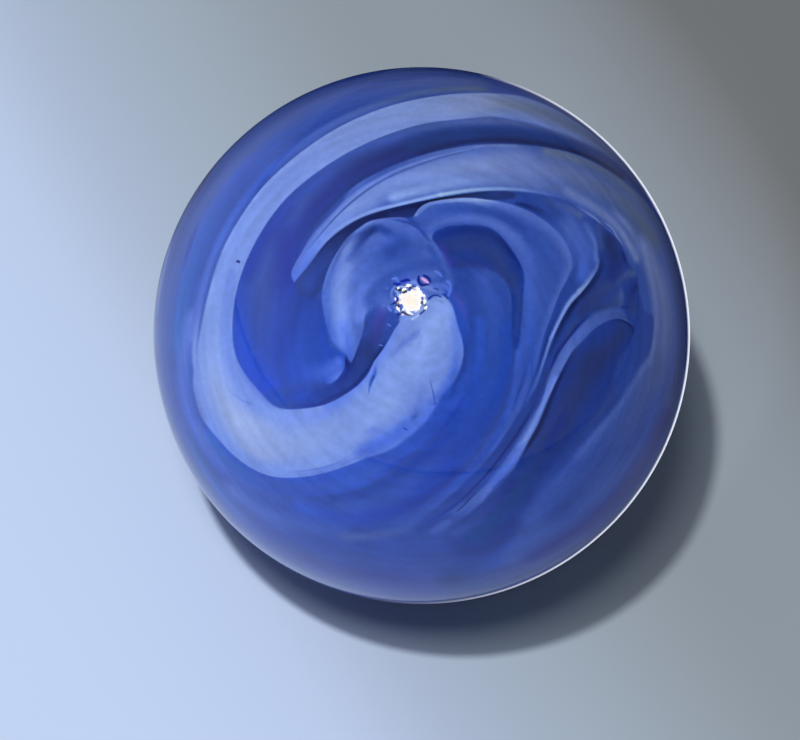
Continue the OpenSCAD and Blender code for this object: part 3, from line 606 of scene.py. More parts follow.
# Lobe between the pocket and the D-shaped one
E_LOBE = (EYE, "blue 10", [
    (20, 31.3, 0.6), (28, 31, 0.7), (34, 29.5, 1), (38.1, 27.6, 1.2), (40.5, 23), (39.9, 18.8, 1),
    (40, 16.4, 0.6), (38, 13, 0.35), (34.8, 9.4), (31.3, 5.8), (27.7, -0.3), (26, -5.1, 0.4),
    (23.9, -11, 0.6), (19.7, -17.2, 0.7), (18, -20.4), (21.4, -13.3), (24.1, -7, 0.5), (25.1, -2, 0.4),
    (27.4, 4.8), (30.4, 10.8), (32.3, 13.8), (32.5, 15.6), (31.7, 18.9), (28.8, 22.2), (25.1, 26.1),
    (20.4, 27.8),
], [
    ("body", "blue 14", "cobalt 14", [(33, 24, 5), (36, 19), (35, 13.5, 4)]),
    ("upper", "blue 9", "slate 13", [(23, 30, 2), (30, 29.5, 2.2), (36, 27.6)]),
    ("right edge", "blue 14", "blue 16", [(37.6, 25, 1.6), (39.2, 21, 1.4), (39.2, 17, 1.2)]),
    ("ink over rim", "teal 4", "blue 12", [(20.6, 28.6, 0.7, 0.5), (23, 28.2, 1.1), (26, 26.9, 1.4),
        (29, 25, 1.2), (31, 23, 1)]),
    ("inner dark", "blue 13", "blue 9", [(32.6, 21, 1.2), (34, 16.6, 1.4), (32.8, 12.8, 1.2),
        (31.2, 10, 1)]),
    ("neck", "blue 10", "blue 6", [(31.2, 10, 1.2), (29.4, 6.6, 1.1), (27.6, 2.6, 1), (26.2, -1, 0.8),
        (25.2, -5, 0.7), (24.3, -9, 0.6)]),
    ("rim a", "blue 14", "cobalt 22", [(39.8, 17, 0.8), (39.1, 14.6, 1.3), (37.6, 12.8, 1.4),
        (35.8, 10.8, 1.1), (34.2, 9.6, 1)]),
    ("rim b", "cobalt 21", "cobalt 20", [(34.3, 9.5, 1), (32.1, 7.6, 0.9), (30.4, 5.3, 0.8),
        (28.7, 2.3, 0.75), (27.2, -0.6, 0.7)]),
    ("rim c", "blue 18", "cobalt 10", [(27.2, -0.6, 0.7), (26.2, -3.4), (25.1, -6.6), (24.1, -9.6, 0.8),
        (22.7, -12.6), (21.4, -15.4, 0.7), (19.3, -17.2, 0.5, 0)]),
])

# D-shaped lobe right of the eye, with its milky threads
D_LOBE = (EYE, "blue 12", [
    (-1.9, 24.6, 0.35), (-1.2, 25.9), (0.5, 27.6), (2.7, 28.4), (7.4, 29.2), (14, 29.2, 0.4), (19.6, 28.2),
    (25.2, 26, 0.5), (29.1, 23.3, 0.6), (31.7, 20.1, 0.8), (32.9, 16, 0.7), (32.1, 13.5, 0.5),
    (29.3, 8.9, 0.4), (27.2, 4, 0.35), (25.4, -0.6), (24.2, -5.5, 0.4), (22.2, -12.2, 0.5),
    (19.8, -17, 0.4), (16.3, -22.9), (12.9, -27.5, 0.6), (9.7, -31.3, 0.8), (4, -36.6, 1.2), (0, -39.5, 2),
    (-5, -42, 3), (-2, -39, 1.5), (4.7, -33.3, 0.9), (10, -27.7), (14.5, -20.6), (17.9, -13.7),
    (19.2, -5, 0.8), (18.8, 0, 1), (18.2, 7, 1.5), (16.5, 11), (13, 13.5), (5, 14), (3.2, 17.6, 0.6),
    (0.1, 22, 0.4),
], [
    ("body a", "blue 11", "blue 10", [(4, 26.4, 1.2), (9, 26.8, 1.4), (14, 26.2, 1.8), (19, 24.4, 2.2),
        (23.4, 21.4, 2.8)]),
    ("body b", "blue 11", "blue 12", [(23.4, 21.4, 2.8), (26.8, 17.4, 3), (28.4, 13.4, 2.4), (27.4, 9, 1.8),
        (25.8, 4.6, 1.2)]),
    ("second light a", "blue 14", "blue 15", [(1.6, 22.4, 1.1), (4, 23.6, 1.2), (8, 24.4, 1.4),
        (12, 24.5, 1.5), (16, 23.2, 2), (19.6, 20.4, 2.4)]),
    ("second light b", "blue 14", "cobalt 13", [(19.6, 20.4, 2.4), (21.8, 16.6, 2.8), (22.8, 11, 3),
        (22.8, 5, 2.4), (22.2, -1, 1.8)]),
    ("rim a", "blue 19", "blue 21", [(-1.2, 25.4, 0.9), (0.8, 27.4, 1.1), (3, 28.6, 1.3), (8, 29.3, 1.5),
        (14, 29, 2)]),
    ("rim b", "blue 16", "blue 14", [(14, 29, 2), (19.6, 27.9, 2.6), (25, 25.8, 3.2), (29, 23, 3.4),
        (31.6, 19.8, 3.2)]),
    ("rim c", "blue 15", [(31.6, 19.8, 3.2), (32.6, 16.5, 2.8), (31.8, 13.2, 2.2), (30, 9.7, 1.8),
        (28, 6, 1.5)]),
    ("rim d", "blue 14", "cobalt 13", [(28, 6, 1.5), (26, 2, 1.3), (24.9, -2.2, 1.2), (24.1, -5.3, 1),
        (23, -9.2, 0.9)]),
    ("glint", "blue 15", "cobalt 23", [(-0.8, 25.5, 0.4), (0.6, 27, 0.5), (3, 28), (12, 28.9, 0.45),
        (17, 28.4, 0.4, 0)]),
    ("mid light", "blue 13", "cobalt 11", [(24, 9, 1.8), (23.8, 3, 1.6), (22.8, -3, 1.2), (22.2, -8, 1)]),
    ("thread dark", "cobalt 14", "cobalt 8", [(21, 1, 0.5, 0.4), (21, -4), (21.2, -8.1), (19.9, -12.6),
        (18.8, -15.6, 0.4, 0.4)]),
    ("left stripe a", "cobalt 14", "cobalt 12", [(20.2, 3, 1.2), (19.9, -3, 1.3), (19.4, -8.6, 1.4),
        (18.4, -13.4, 1.5), (17, -17.8)]),
    ("left stripe b", "cobalt 11", [(17, -17.8, 1.5), (15.2, -21.6, 1.6), (13, -25.2), (10.2, -28.6),
        (7, -31.9)]),
    ("left stripe c", "cobalt 11", "blue 10", [(7, -31.9, 1.6), (3.6, -35), (0, -38), (-4, -41, 1.8)]),
    ("stripe edge", "cobalt 13", [(18.2, -19.1, 0.4, 0.3), (16.8, -21.2, 0.6), (15.5, -23.3, 0.8),
        (14.4, -24.9, 0.5, 0.5)]),
    ("second stripe", "cobalt 13", "blue 13", [(22.6, -6, 0.6), (22.1, -9.6, 0.8), (20.9, -13.2),
        (19.9, -16, 0.6, 0)]),
    ("thread ink", "cobalt 11", [(22.9, -6, 0.3, 0.4), (23.1, -9.7, 0.45), (21.9, -12.9, 0.5),
        (20.9, -15.1, 0.45, 0.7)]),
    ("right ink", "cobalt 13", "cobalt 9", [(19.8, -17.1, 0.5, 0), (16.5, -23.2, 0.55), (13, -27.8, 0.6),
        (9.5, -31.2), (7, -34.2, 0.6, 0)]),
    ("left end", "blue 15", [(0.5, 21.5, 1.2, 0), (2.4, 20), (3.4, 17, 1.2, 0)]),
])

# Dark inside of the D-shaped lobe
INNER_LOBE = (EYE, "blue 8", [
    (2.2, 20.4, 0.4), (4.9, 22.5, 0.5), (11.5, 23.1), (15.7, 21.8, 0.45), (19, 17.8, 0.4), (21.3, 13.2),
    (21, 7.9), (20.5, 2, 0.7), (20.2, -1.5, 1.2), (19.2, -3), (18.5, 0, 1), (18.5, 6.8, 0.5),
    (17.9, 9.8, 0.6), (16, 12.5, 1), (12, 13.8, 1.5), (5, 13.6, 2), (3.8, 16.5, 1),
], [
    ("dark", "slate 8", "slate 9", [(6, 18.5, 4), (11, 19, 4.5), (15.5, 16.5), (17, 11, 4)]),
    ("top dark", "blue 7", "slate 7", [(4, 20.8, 1), (8, 21.7, 1.4), (12, 22, 1.6), (15.4, 20.6),
        (18, 17.8, 1.5)]),
    ("ink rim", "blue 5", "blue 9", [(16.4, 20.2, 0.6, 0.3), (18.3, 17.7, 0.9), (20, 15.3, 1.1),
        (20.7, 12.4, 0.9), (20.8, 9.6, 0.6, 0.5)]),
    ("right side", "slate 9", "blue 10", [(19.2, 12.4, 1.4), (19.9, 8, 1.2), (19.8, 4, 1.1),
        (19.4, 0, 0.9)]),
    ("low light", "slate 8", "violet 9", [(8, 14.5, 2), (13, 13.5), (16.5, 9.5)]),
    ("left dark", "violet 9", [(4, 18.5, 1.2), (4.8, 16, 1.4), (6.2, 14.6)]),
])

# Dark crescent under the second fold, over the crest and the D-shaped lobe
CRESCENT = (EYE, "slate 7", [
    (-26.7, 11, 0.5), (-23.7, 14.8, 0.4), (-19.8, 19.8, 0.35), (-15, 23.5), (-10, 25.7), (0, 28.3),
    (10, 30.4), (15, 31.2, 0.5), (20, 31.3, 0.8), (20, 29.8), (15, 29.1, 0.4), (10.5, 29.4, 0.35),
    (5, 28.8), (1.5, 28), (-0.4, 26.8), (-1.9, 24.7), (-4, 24.6), (-10, 24.2), (-12.9, 22.7), (-15.4, 20.5),
    (-17.4, 17.8), (-19.1, 14.6), (-20.3, 11, 0.5), (-22, 8, 1.5), (-25, 8.5),
], [
    ("left", "blue 9", "slate 5", [(-24, 11, 5), (-19.5, 18, 4), (-14.5, 23, 3)]),
    ("left edge", "blue 8", "slate 8", [(-21.4, 10, 1.2, 0), (-20.4, 14.4), (-17.8, 18.6, 1.1, 0)]),
    ("mid", "teal 4", "blue 2", [(-14.5, 23, 3), (-8, 25.6, 2.4), (-2, 27), (4, 29.4, 1.6)]),
    ("right", "slate 0", "blue 9", [(1.6, 28.6, 1.2, 0), (5, 29.4), (10, 30.2), (14, 30.5, 1.1),
        (18, 30.6, 1, 0)]),
    ("wedge", "slate 6", [(-6.5, 25.3, 1.3), (-3.2, 25.7, 1.5), (-1.6, 26, 1.3)]),
    ("under edge", "teal 4", "slate 4", [(-24.4, 14.3, 0.9, 0), (-20, 19.6, 1), (-15, 23.2, 0.9),
        (-10, 25.5, 0.8), (-5, 26.9), (0, 28.4, 0.8, 0)]),
])

# The crest, which rises beside the eye
CREST = (EYE, "blue 14", [
    (-14.3, -5.6, 0.35), (-14.3, -5.6), (-15.7, -3.7, 1), (-17.7, -2.1, 1.4), (-19, 0.1, 0.8),
    (-20, 4, 0.4), (-20.6, 8, 0.35), (-20.1, 11.5), (-19, 14.7), (-17.3, 17.8), (-15.3, 20.6),
    (-12.8, 22.7), (-10, 24.2), (-4, 24.6), (-1.8, 22.8), (1.7, 20, 0.4), (3.1, 18.6, 0.7), (5, 15, 2),
    (6, 11, 3), (3.6, 8.4), (-0.2, 6.7), (-7, 5.5), (-9.5, 5.9, 2.5), (-11.3, 4.1, 1), (-11.9, 0.7, 0.35),
    (-13.4, -3.5),
], [
    ("back light", "cobalt 20", "blue 18", [(-15.6, -1, 2.5), (-16.6, 5, 3.6), (-16.4, 11, 3.4),
        (-14.6, 16.5, 2.6)]),
    ("upper light", "blue 13", "blue 5", [(-14.6, 16.5, 2.6), (-12.6, 19.6, 1.6), (-10.6, 21.6, 1)]),
    ("mid", "cobalt 18", "blue 10", [(-12, 4, 3), (-11.5, 10, 4), (-8.5, 15.5, 4.5), (-4, 19, 4)]),
    ("mid low", "blue 12", "blue 11", [(-10.6, 7, 2.4), (-7.4, 11, 3), (-2, 14), (2.6, 14.6, 2.4)]),
    ("left edge", "cobalt 13", "blue 16", [(-19.2, 0, 1.4), (-19.8, 6), (-19.6, 11), (-18, 16, 1.3)]),
    ("low", "blue 10", "blue 12", [(-6, 9, 2.4), (-1, 9.6), (3.6, 11, 2.2)]),
    ("light strip", "blue 12", "blue 18", [(-20.1, 8.6, 0.4, 0.4), (-18.6, 14.7, 0.5), (-15.8, 19.6),
        (-14.4, 21.4), (-12.3, 22.4, 0.5, 0.6)]),
    ("ink", "blue 14", "slate 11", [(-19.5, 7.4, 0.3, 0.3), (-18.7, 12.8, 0.45), (-17, 17.1, 0.6),
        (-15.4, 19.9, 0.7), (-13.7, 22.1, 0.4, 0.4)]),
    ("top edge", "blue 18", "violet 8", [(-12.6, 22.9, 0.6), (-10, 23.9), (-7, 24.3), (-4, 24),
        (-1.4, 22.8, 0.5), (0.6, 21, 0.4)]),
    ("shade", "blue 16", "teal 4", [(-16, 14.5, 0.8, 0), (-14.4, 18.4, 1.3), (-12.4, 20.7, 1.7),
        (-9.8, 22.2, 1.5), (-7.4, 22.8, 0.8, 0)]),
    ("centre dark", "blue 10", "blue 13", [(-6, 17, 3), (-1, 17.6, 3.4), (-1, 20.6, 2.4)]),
    ("right shade", "blue 11", [(1.6, 18, 1.2), (3.4, 15, 1.4), (4.6, 11.6)]),
    ("patch", "blue 13", [(-5.6, 21.6, 1, 0), (-3.6, 21.8, 1.1), (-2, 21, 0.8, 0)]),
    ("top dark line", "blue 10", [(-6.4, 24.3, 0.3, 0.2), (-4.6, 23.9, 0.45), (-2.4, 23.3, 0.65),
        (-1, 22.5, 0.6), (0.9, 20.3, 0.45), (1.9, 19.2, 0.35, 0.4)]),
    ("foot", "cobalt 14", "cobalt 17", [(-14.6, -4.5, 1), (-15, -1.5, 2), (-16, 2, 2.4)]),
    ("foot left", "cobalt 16", "cobalt 15", [(-16.6, -3, 0.9, 0), (-17.8, -0.6, 1.3),
        (-18.4, 2.4, 1.2, 0)]),
    ("edge right", "violet 14", [(-13.4, -4, 0.35, 0), (-12.3, -1.4, 0.5), (-11.6, 1.4), (-11.2, 4)]),
    ("top shade", "blue 9", [(-10.4, 22.4, 1.2, 0), (-7.4, 21.7, 1.6), (-4.6, 20.4, 1.2, 0)]),
    ("shoulder light", "blue 18", [(-17, 14.6, 1, 0), (-15.4, 18, 1.4), (-13.2, 20.6, 1, 0)]),
])

# The thin ribbon that runs down between the pocket and the dark field
RIBBON = (EYE, "blue 13", [
    (50.2, 2.3, 0.3), (50.2, 2.3), (47, 3.4), (44.8, 3.9, 0.35), (42, 3.5), (37.9, 1.5), (34.5, -1.4),
    (32, -3.7), (28.9, -9), (26.7, -14.1), (24.7, -19.1), (21.9, -24.4, 0.4), (20, -28.9, 0.5), (20, -28.9),
    (16.7, -31.9, 0.6), (14.5, -35, 0.5), (13.6, -36.6), (13.6, -36.6), (9.5, -40.3, 1.5), (4, -44.5, 2.5),
    (2, -45), (3, -43, 2), (6.5, -40.2, 1), (9.1, -37, 0.5), (12.4, -33.9), (16.1, -29.5, 0.9),
    (19.1, -24.8, 0.8), (22.1, -19.3), (25.2, -14.1), (26.9, -8.4, 0.5), (29.7, -3, 0.4), (34.2, 2, 0.5),
    (38.6, 5.1, 1.2), (43.4, 6.2, 1.8), (46.1, 5.8, 1.5), (47.7, 3.4, 1),
], [
    ("head", "slate 10", "blue 14", [(49, 3.2, 0.6), (44.6, 4.7, 1.2), (40.4, 4.4, 1.4), (36.6, 2.4, 1.6)]),
    ("upper", "blue 14", "blue 16", [(36, 2, 1.7), (32.4, -1.4), (29.6, -5.6), (27, -11)]),
    ("right light", "blue 13", "blue 17", [(35.4, 0.4, 0.5, 0), (32.8, -2.4, 0.7), (30.8, -5.2, 0.8),
        (28.9, -8.2, 0.8, 0)]),
    ("bright", "cobalt 17", "cobalt 20", [(28.4, -8.6, 1), (26.4, -12.4, 1.1), (25, -16, 1.2),
        (23.4, -19.8, 1.3), (21.4, -23.6, 1.4)]),
    ("lower a", "cobalt 17", "cobalt 14", [(21.4, -23.6, 1.6), (19.2, -27.4, 1.8), (16.6, -30.6, 1.6),
        (14.6, -33.4, 1.4)]),
    ("lower b", "blue 15", "blue 10", [(14.6, -33.4, 1.4), (12.8, -35.8, 1.6), (10.4, -38.2), (7, -41)]),
    ("edge glint", "cobalt 19", [(28.6, -8.9, 0.35), (26.7, -12.8, 0.45), (25.2, -16, 0.5),
        (24.2, -18.9, 0.4, 0)]),
    ("left edge", "slate 10", "blue 16", [(34, 2.5, 0.5, 0), (30.4, -1.2, 0.6), (28, -5.6), (25.8, -11),
        (23.4, -16.2), (20.6, -21.4)]),
    ("left soft", "ultra 19", "cobalt 16", [(20.6, -21.4, 0.6), (18.6, -25, 0.8), (16.4, -28.4, 0.9),
        (14, -31.4, 0.7, 0)]),
    ("mist", "slate 11", [(21.4, -26.8, 0.5, 0), (20.4, -28.8, 0.7), (18.6, -29.6, 0.6, 0)]),
    ("glint", "slate 15", [(46.6, 3.8, 0.2, 0.2), (48.1, 3.4, 0.3), (49.8, 3, 0.3, 0)]),
    ("scratch", "cobalt 6", "teal 4", [(12.1, -33.6, 0.22), (10, -36.4, 0.26), (7.8, -38.9, 0.18, 0.4)]),
    ("scratch shade", "blue 5", [(12.1, -34.1, 0.15, 0.5), (10, -36.5, 0.26), (7.9, -38.9, 0.2, 0.6)]),
])

# Chips, flakes and cracks round the bright spot, and specks elsewhere; among them painted glints and sparkle
# of the lamp, and a painted dark ring round the bright spot
BROKEN_SKIN_AND_GLINTS = (EYE, None, None, [
    # Pale flakes, flecks and ground round the bright spot: partly chipped glass, partly painted sparkle of
    # the lamp in the chips
    ("shattered ground", "blue 15", [(-1.4, 10, 1.2, 0), (0.4, 9.7, 1.7, 0.8), (2.6, 9.6, 1.8, 0.8),
        (4.8, 9.3, 1.3, 0)]),
    # Painted dark ring round the highlight: a dark patch under the lamp's mirror image, which also makes
    # that image show cream
    ("deep spot", "violet 5", [(-2.4, 6.9, 2.7), (-1.8, 6.9)]),
    ("flake a", "cobalt 17", "cobalt 15", [(-5.9, 11.5, 0.3), (-5.2, 11.6, 0.6), (-4.7, 11, 0.5)]),
    ("flake b", "blue 17", "blue 15", [(-5.3, 9.9, 0.4), (-5.9, 9.2, 0.55), (-6.1, 8.2, 0.5),
        (-5.8, 7.2, 0.4)]),
    ("flake c", "blue 20", "blue 18", [(-5.2, 9, 0.5), (-4.7, 8.5, 0.65), (-5, 7.7, 0.45)]),
    ("flake d", "blue 19", "cobalt 17", [(-2.4, 10.4, 0.5), (-1.6, 10.8, 0.8), (-0.8, 10.4),
        (-0.2, 9.6, 0.6)]),
    ("flake e", "blue 18", "blue 15", [(0.5, 9.8, 0.5), (1.6, 9.6, 0.8), (2.4, 9.2, 0.7), (3.4, 9, 0.6),
        (4.4, 8.6, 0.4)]),
    ("flake f", "cobalt 17", "blue 16", [(0.4, 8.9, 0.5), (0.9, 8.2, 0.65), (1.2, 7.5, 0.4)]),
    ("flake g", "blue 19", "blue 17", [(2.2, 7.1, 0.6), (3.4, 7.1), (4.3, 6.6, 0.4)]),
    ("flake h", "cobalt 17", "cobalt 16", [(2.7, 13, 0.3), (3.2, 12.9, 0.5), (3.8, 12.4), (4.1, 12, 0.3)]),
    ("flake i", "cobalt 16", [(5.2, 11, 0.5), (5.8, 10.4, 0.6), (5.8, 9.2), (5.4, 8, 0.4)]),
    ("flake j", "blue 14", "cobalt 15", [(2.6, 10.4, 0.4), (3.8, 10.2, 0.7), (5, 9.9), (5.6, 9, 0.5)]),
    ("flake k", "cobalt 16", "cobalt 17", [(-3.4, 10.5, 0.25), (-2.7, 10.5, 0.4), (-1.9, 10.9, 0.35)]),
    ("flake m", "blue 15", "blue 16", [(-5.6, 5.8, 0.4), (-5.1, 5.4, 0.6), (-4.6, 4.9, 0.4)]),
    ("fleck left", "cobalt 17", [(-6.7, 5.8, 0.45), (-6.2, 5.1, 0.5)]),
    ("fleck low left", "blue 17", [(-5.2, 4.8, 0.5), (-4.6, 5, 0.4)]),
    ("fleck right", "blue 20", [(1.7, 4.5, 0.4), (2, 4, 0.35)]),
    ("flake low a", "blue 17", "blue 19", [(-4.3, 3.2, 0.5), (-3.4, 3.6, 0.65), (-2.4, 3.4, 0.5)]),
    ("flake low b", "blue 20", "blue 19", [(-0.4, 3, 0.3), (0.4, 3.5, 0.4), (1.3, 3.9, 0.3)]),
    ("fleck trunk", "cobalt 15", [(-6.8, 2.3, 0.3), (-6.3, 2, 0.4)]),
    ("fleck far left a", "blue 14", [(-7.1, 9.6, 0.4), (-6.8, 9.6)]),
    ("fleck far left b", "blue 15", [(-7.8, 6.1, 0.45), (-7.4, 6, 0.4)]),
    ("bruise a", "ultra 5", [(-4.2, 11, 0.3), (-3.5, 11.1, 0.6), (-2.8, 11.3, 0.5), (-2.4, 11.1, 0.3)]),
    ("bruise b", "ultra 5", [(-5.6, 10.5, 0.3), (-4.9, 10.4, 0.45), (-4.3, 10.5, 0.3)]),
    ("bruise c", "cobalt 3", [(-0.6, 12, 0.3), (-0.6, 11, 0.5), (-0.1, 10.3), (0.5, 10.2, 0.4),
        (1.4, 10.4, 0.3)]),
    ("bruise d", "cobalt 4", [(0.4, 12.2, 0.3), (1, 11.9, 0.5), (1.6, 11.4, 0.4), (1.8, 10.8, 0.3)]),
    # Painted reflection of a small red lamp
    ("pink speck", "rose 20", [(0.1, 11.6, 0.4), (0.5, 11.3, 0.6), (0.9, 11), (1.3, 10.7, 0.35)]),
    # Painted glints: the lamp mirrored in facets of the chips
    ("crushed a", "blue 22", "blue 23", [(-4.8, 9.8, 0.25), (-3.9, 9.9, 0.4), (-3.3, 9.7, 0.35),
        (-2.8, 9.4, 0.25)]),
    ("crushed b", "teal 23", "blue 23", [(-1.9, 3.3, 0.35), (-1.2, 3.7, 0.45), (-0.5, 4.2, 0.3)]),
    ("crushed c", "ultra 24", "blue 22", [(0.3, 7.2, 0.2), (1, 6.7, 0.4), (1.6, 6.8, 0.2)]),
    ("crushed d", "blue 22", "blue 21", [(-1, 4.9, 0.5), (-0.2, 5.3, 0.75), (0.4, 5.7, 0.6),
        (0.9, 5.7, 0.2)]),
    ("crack a", "ultra 3", [(-5.6, 6.6, 0.25), (-5.1, 6.6, 0.5), (-4.6, 6.5, 0.3)]),
    ("crack b", "violet 4", [(-5, 7.9, 0.2), (-4.9, 7.4, 0.35), (-4.8, 6.9, 0.25)]),
    ("crack c", "grey 1", [(-5, 9.4, 0.25), (-4.4, 9.2, 0.3), (-3.8, 9.1, 0.25)]),
    ("crack d", "violet 4", [(-3.2, 10.1, 0.3), (-2.5, 9.9, 0.4), (-1.9, 9.7, 0.35), (-1.3, 9.5, 0.2)]),
    ("crack e", "grey 2", [(0.1, 7.1, 0.25), (0.4, 6.6, 0.4), (0.8, 6.1, 0.25)]),
    ("crack f", "grey 1", [(-4.7, 6.9, 0.2), (-4.7, 6.2, 0.25), (-4.6, 5.6, 0.2)]),
    ("crack g", "blue 4", [(0.9, 5.4, 0.2), (0.3, 4.8, 0.25), (-0.3, 4.3)]),
    ("crack h", "cobalt 6", "blue 8", [(1.4, 7.4, 0.35), (1.8, 7.7, 0.4), (2.4, 8.1, 0.3), (3.2, 8.1),
        (3.9, 7.8, 0.25)]),
    ("crack i", "blue 9", [(2.5, 9.5, 0.25), (3.2, 9.4, 0.35), (3.4, 9.1, 0.2)]),
    ("crack j", "blue 7", [(4.4, 8.4, 0.25), (4.9, 8, 0.35), (5.3, 7.5, 0.25)]),
    ("crack k", "cobalt 5", [(-4.7, 4.3, 0.4), (-4.3, 4.3, 0.5), (-3.9, 4.6, 0.3)]),
    ("crack l", "grey 0", [(-3.9, 8.5, 0.25), (-3.5, 8.9, 0.3), (-3.1, 9.2, 0.2)]),
    ("crack m", "blue 5", [(-6.3, 6.3, 0.15), (-5.8, 6.4, 0.25), (-5.4, 6.5, 0.2)]),
    ("crack n", "grey 2", [(-4.3, 5.3, 0.2), (-3.6, 4.6, 0.3), (-2.7, 4.2), (-1.8, 4.1, 0.2)]),
    ("trunk speck a", "grey 8", [(-11.1, 2.6, 0.25), (-10.9, 1.7)]),
    ("trunk speck b", "blue 16", [(-8.5, -1.9, 0.25), (-7.9, -2)]),
    ("left pit", "cobalt 3", [(-41.9, 16.9, 0.5), (-41.3, 16.7)]),
])

# The order in which the fields lie, from the lowest up
FIELDS = [
    *FAR_SIDE, UNDER_GLASS, COBALT_LOBE, MID_ZONE, GREAT_FOLD, TRUNK, SECOND_FOLD, NAVY_FIELD, POCKET,
    E_LOBE, D_LOBE, INNER_LOBE, CRESCENT, CREST, RIBBON, BROKEN_SKIN_AND_GLINTS,
]


def eye_frame(points):
    """Points given in the model's frame, as east, north and outward parts of the eye frame."""
    turn = np.array([EAST, NORTH, OUTWARD])
    return points @ turn.T


def flat_map(points):
    """Degrees of arc east and north of the eye, for points in the eye frame."""
    arc = np.degrees(np.arccos(np.clip(points[:, 2] / np.linalg.norm(points, axis=1), -1, 1)))
    bearing = np.arctan2(points[:, 1], points[:, 0])
    return np.stack([arc * np.cos(bearing), arc * np.sin(bearing)], axis=1)


def smooth_path(stations, closed=False):
    """A smooth curve through stations; where one is repeated, it is a corner."""
    count = len(stations)
    rows = []
    for i in range(count if closed else count - 1):
        if closed:
            a, b, c, d = (stations[(i + k) % count] for k in (-1, 0, 1, 2))
        else:
            a, b, c, d = (stations[min(max(i + k, 0), count - 1)] for k in (-1, 0, 1, 2))
        if np.allclose(b[:2], c[:2]):
            continue
        for t in np.arange(PATH_STEPS) / PATH_STEPS:
            square = (2 * a - 5 * b + 4 * c - d) * t * t
            cube = (3 * b - a - 3 * c + d) * t ** 3
            rows.append((2 * b + (c - a) * t + square + cube) / 2)
    rows.append(rows[0] if closed else stations[-1])
    return np.array(rows)


def ease(x):
    """0 below 0, 1 above 1, and a smooth rise between them."""
    x = np.clip(x, 0, 1)
    return x * x * (3 - 2 * x)


def blocks(places):
    """The places in blocks that are small enough to work on at once."""
    return np.array_split(places, max(1, len(places) // BLOCK))


def nearest_on(path, places):
    """For each place: distance to the path, share of its length there, and its other values there."""
    start, run = path[:-1], path[1:] - path[:-1]
    square = np.maximum((run[:, :2] ** 2).sum(1), LEAST_SQUARE)
    ends = np.concatenate([[0], np.cumsum(np.sqrt(square))])
    found = []
    for block in blocks(places):
        away = block[:, None] - start[None, :, :2]
        t = np.clip((away * run[None, :, :2]).sum(2) / square, 0, 1)
        away -= t[:, :, None] * run[None, :, :2]
        reach = (away ** 2).sum(2)
        j = reach.argmin(1)
        row = np.arange(len(block))
        t = t[row, j]
        share = (ends[j] + t * np.sqrt(square[j])) / ends[-1]
        there = start[j, 2:] + t[:, None] * run[j, 2:]
        found.append(np.column_stack([np.sqrt(reach[row, j]), share, there]))
    return np.concatenate(found)


def within(outline, places):
    """Whether each place lies inside a closed outline."""
    x, y = outline[:-1, 0], outline[:-1, 1]
    next_x, next_y = outline[1:, 0], outline[1:, 1]
    height = np.where(next_y == y, LEAST_RISE, next_y - y)
    found = []
    for block in blocks(places):
        e, n = block[:, :1], block[:, 1:2]
        crossed = (y > n) != (next_y > n)
        east_of = e < x + (n - y) * (next_x - x) / height
        found.append((crossed & east_of).sum(1) % 2 == 1)
    return np.concatenate(found)


def near(path, places, margin):
    """Numbers of the places in the path's box, with a margin round it."""
    low, high = path[:, :2].min(0) - margin, path[:, :2].max(0) + margin
    return np.nonzero(((places > low) & (places < high)).all(1))[0]


def filled(stations):
    """Stations as rows of four; a third value that is left out stays as before, and a fourth is 1."""
    rows = []
    third = 1
    for east, north, *rest in stations:
        third = rest[0] if rest else third
        rows.append((east, north, third, rest[1] if len(rest) > 1 else 1))
    return np.array(rows, float)


def field_cover(outline, places):
    """How much of each place a field of glass covers, from 0 to 1."""
    path = smooth_path(filled(outline)[:, :3], closed=True)
    cover = np.zeros(len(places))
    pick = near(path, places, path[:, 2].max())
    if len(pick):
        distance, _, softness = nearest_on(path, places[pick]).T
        signed = np.where(within(path, places[pick]), distance, -distance)
        cover[pick] = ease(0.5 + signed / np.maximum(softness, SHARPEST))
    return cover


def stroke_path(stations):
    """Smooth path of a stroke with columns east, north, half width and opacity."""
    return smooth_path(filled(stations))


def stroke_cover(stations, places):
    """How much of each place a stroke covers, how far along it is, and whether a thin stroke is close."""
    path = stroke_path(stations)
    cover, share = np.zeros(len(places)), np.zeros(len(places))
    fine = np.zeros(len(places), bool)
    thin = path[:, 2].max() < THIN_STROKE
    pick = near(path, places, path[:, 2].max() + THIN_REACH * thin)
    if len(pick):
        distance, along_it, width, opacity = nearest_on(path, places[pick]).T
        cover[pick] = np.clip(opacity, 0, 1) * ease(1 - distance / np.maximum(width, LEAST_WIDTH))
        share[pick] = along_it
        fine[pick] = thin & (distance < width + THIN_REACH)
    return cover, share, fine


def tone(name):
    """A glass tone, such as "slate 9", as three numbers from 0 to 1: so many steps up its ramp."""
    family, step = name.split()
    keys = [[int(code[i:i + 2], 16) / 255 for i in (0, 2, 4)] for code in GLASS[family]]
    place_on_ramp = int(step) / STEPS_A_KEY
    return np.array([np.interp(place_on_ramp, range(len(keys)), part) for part in zip(*keys)])


def lay(colours, cover, fresh):
    """Lays fresh colour over colours, as far as it covers."""
    return colours + cover[:, None] * (fresh - colours)


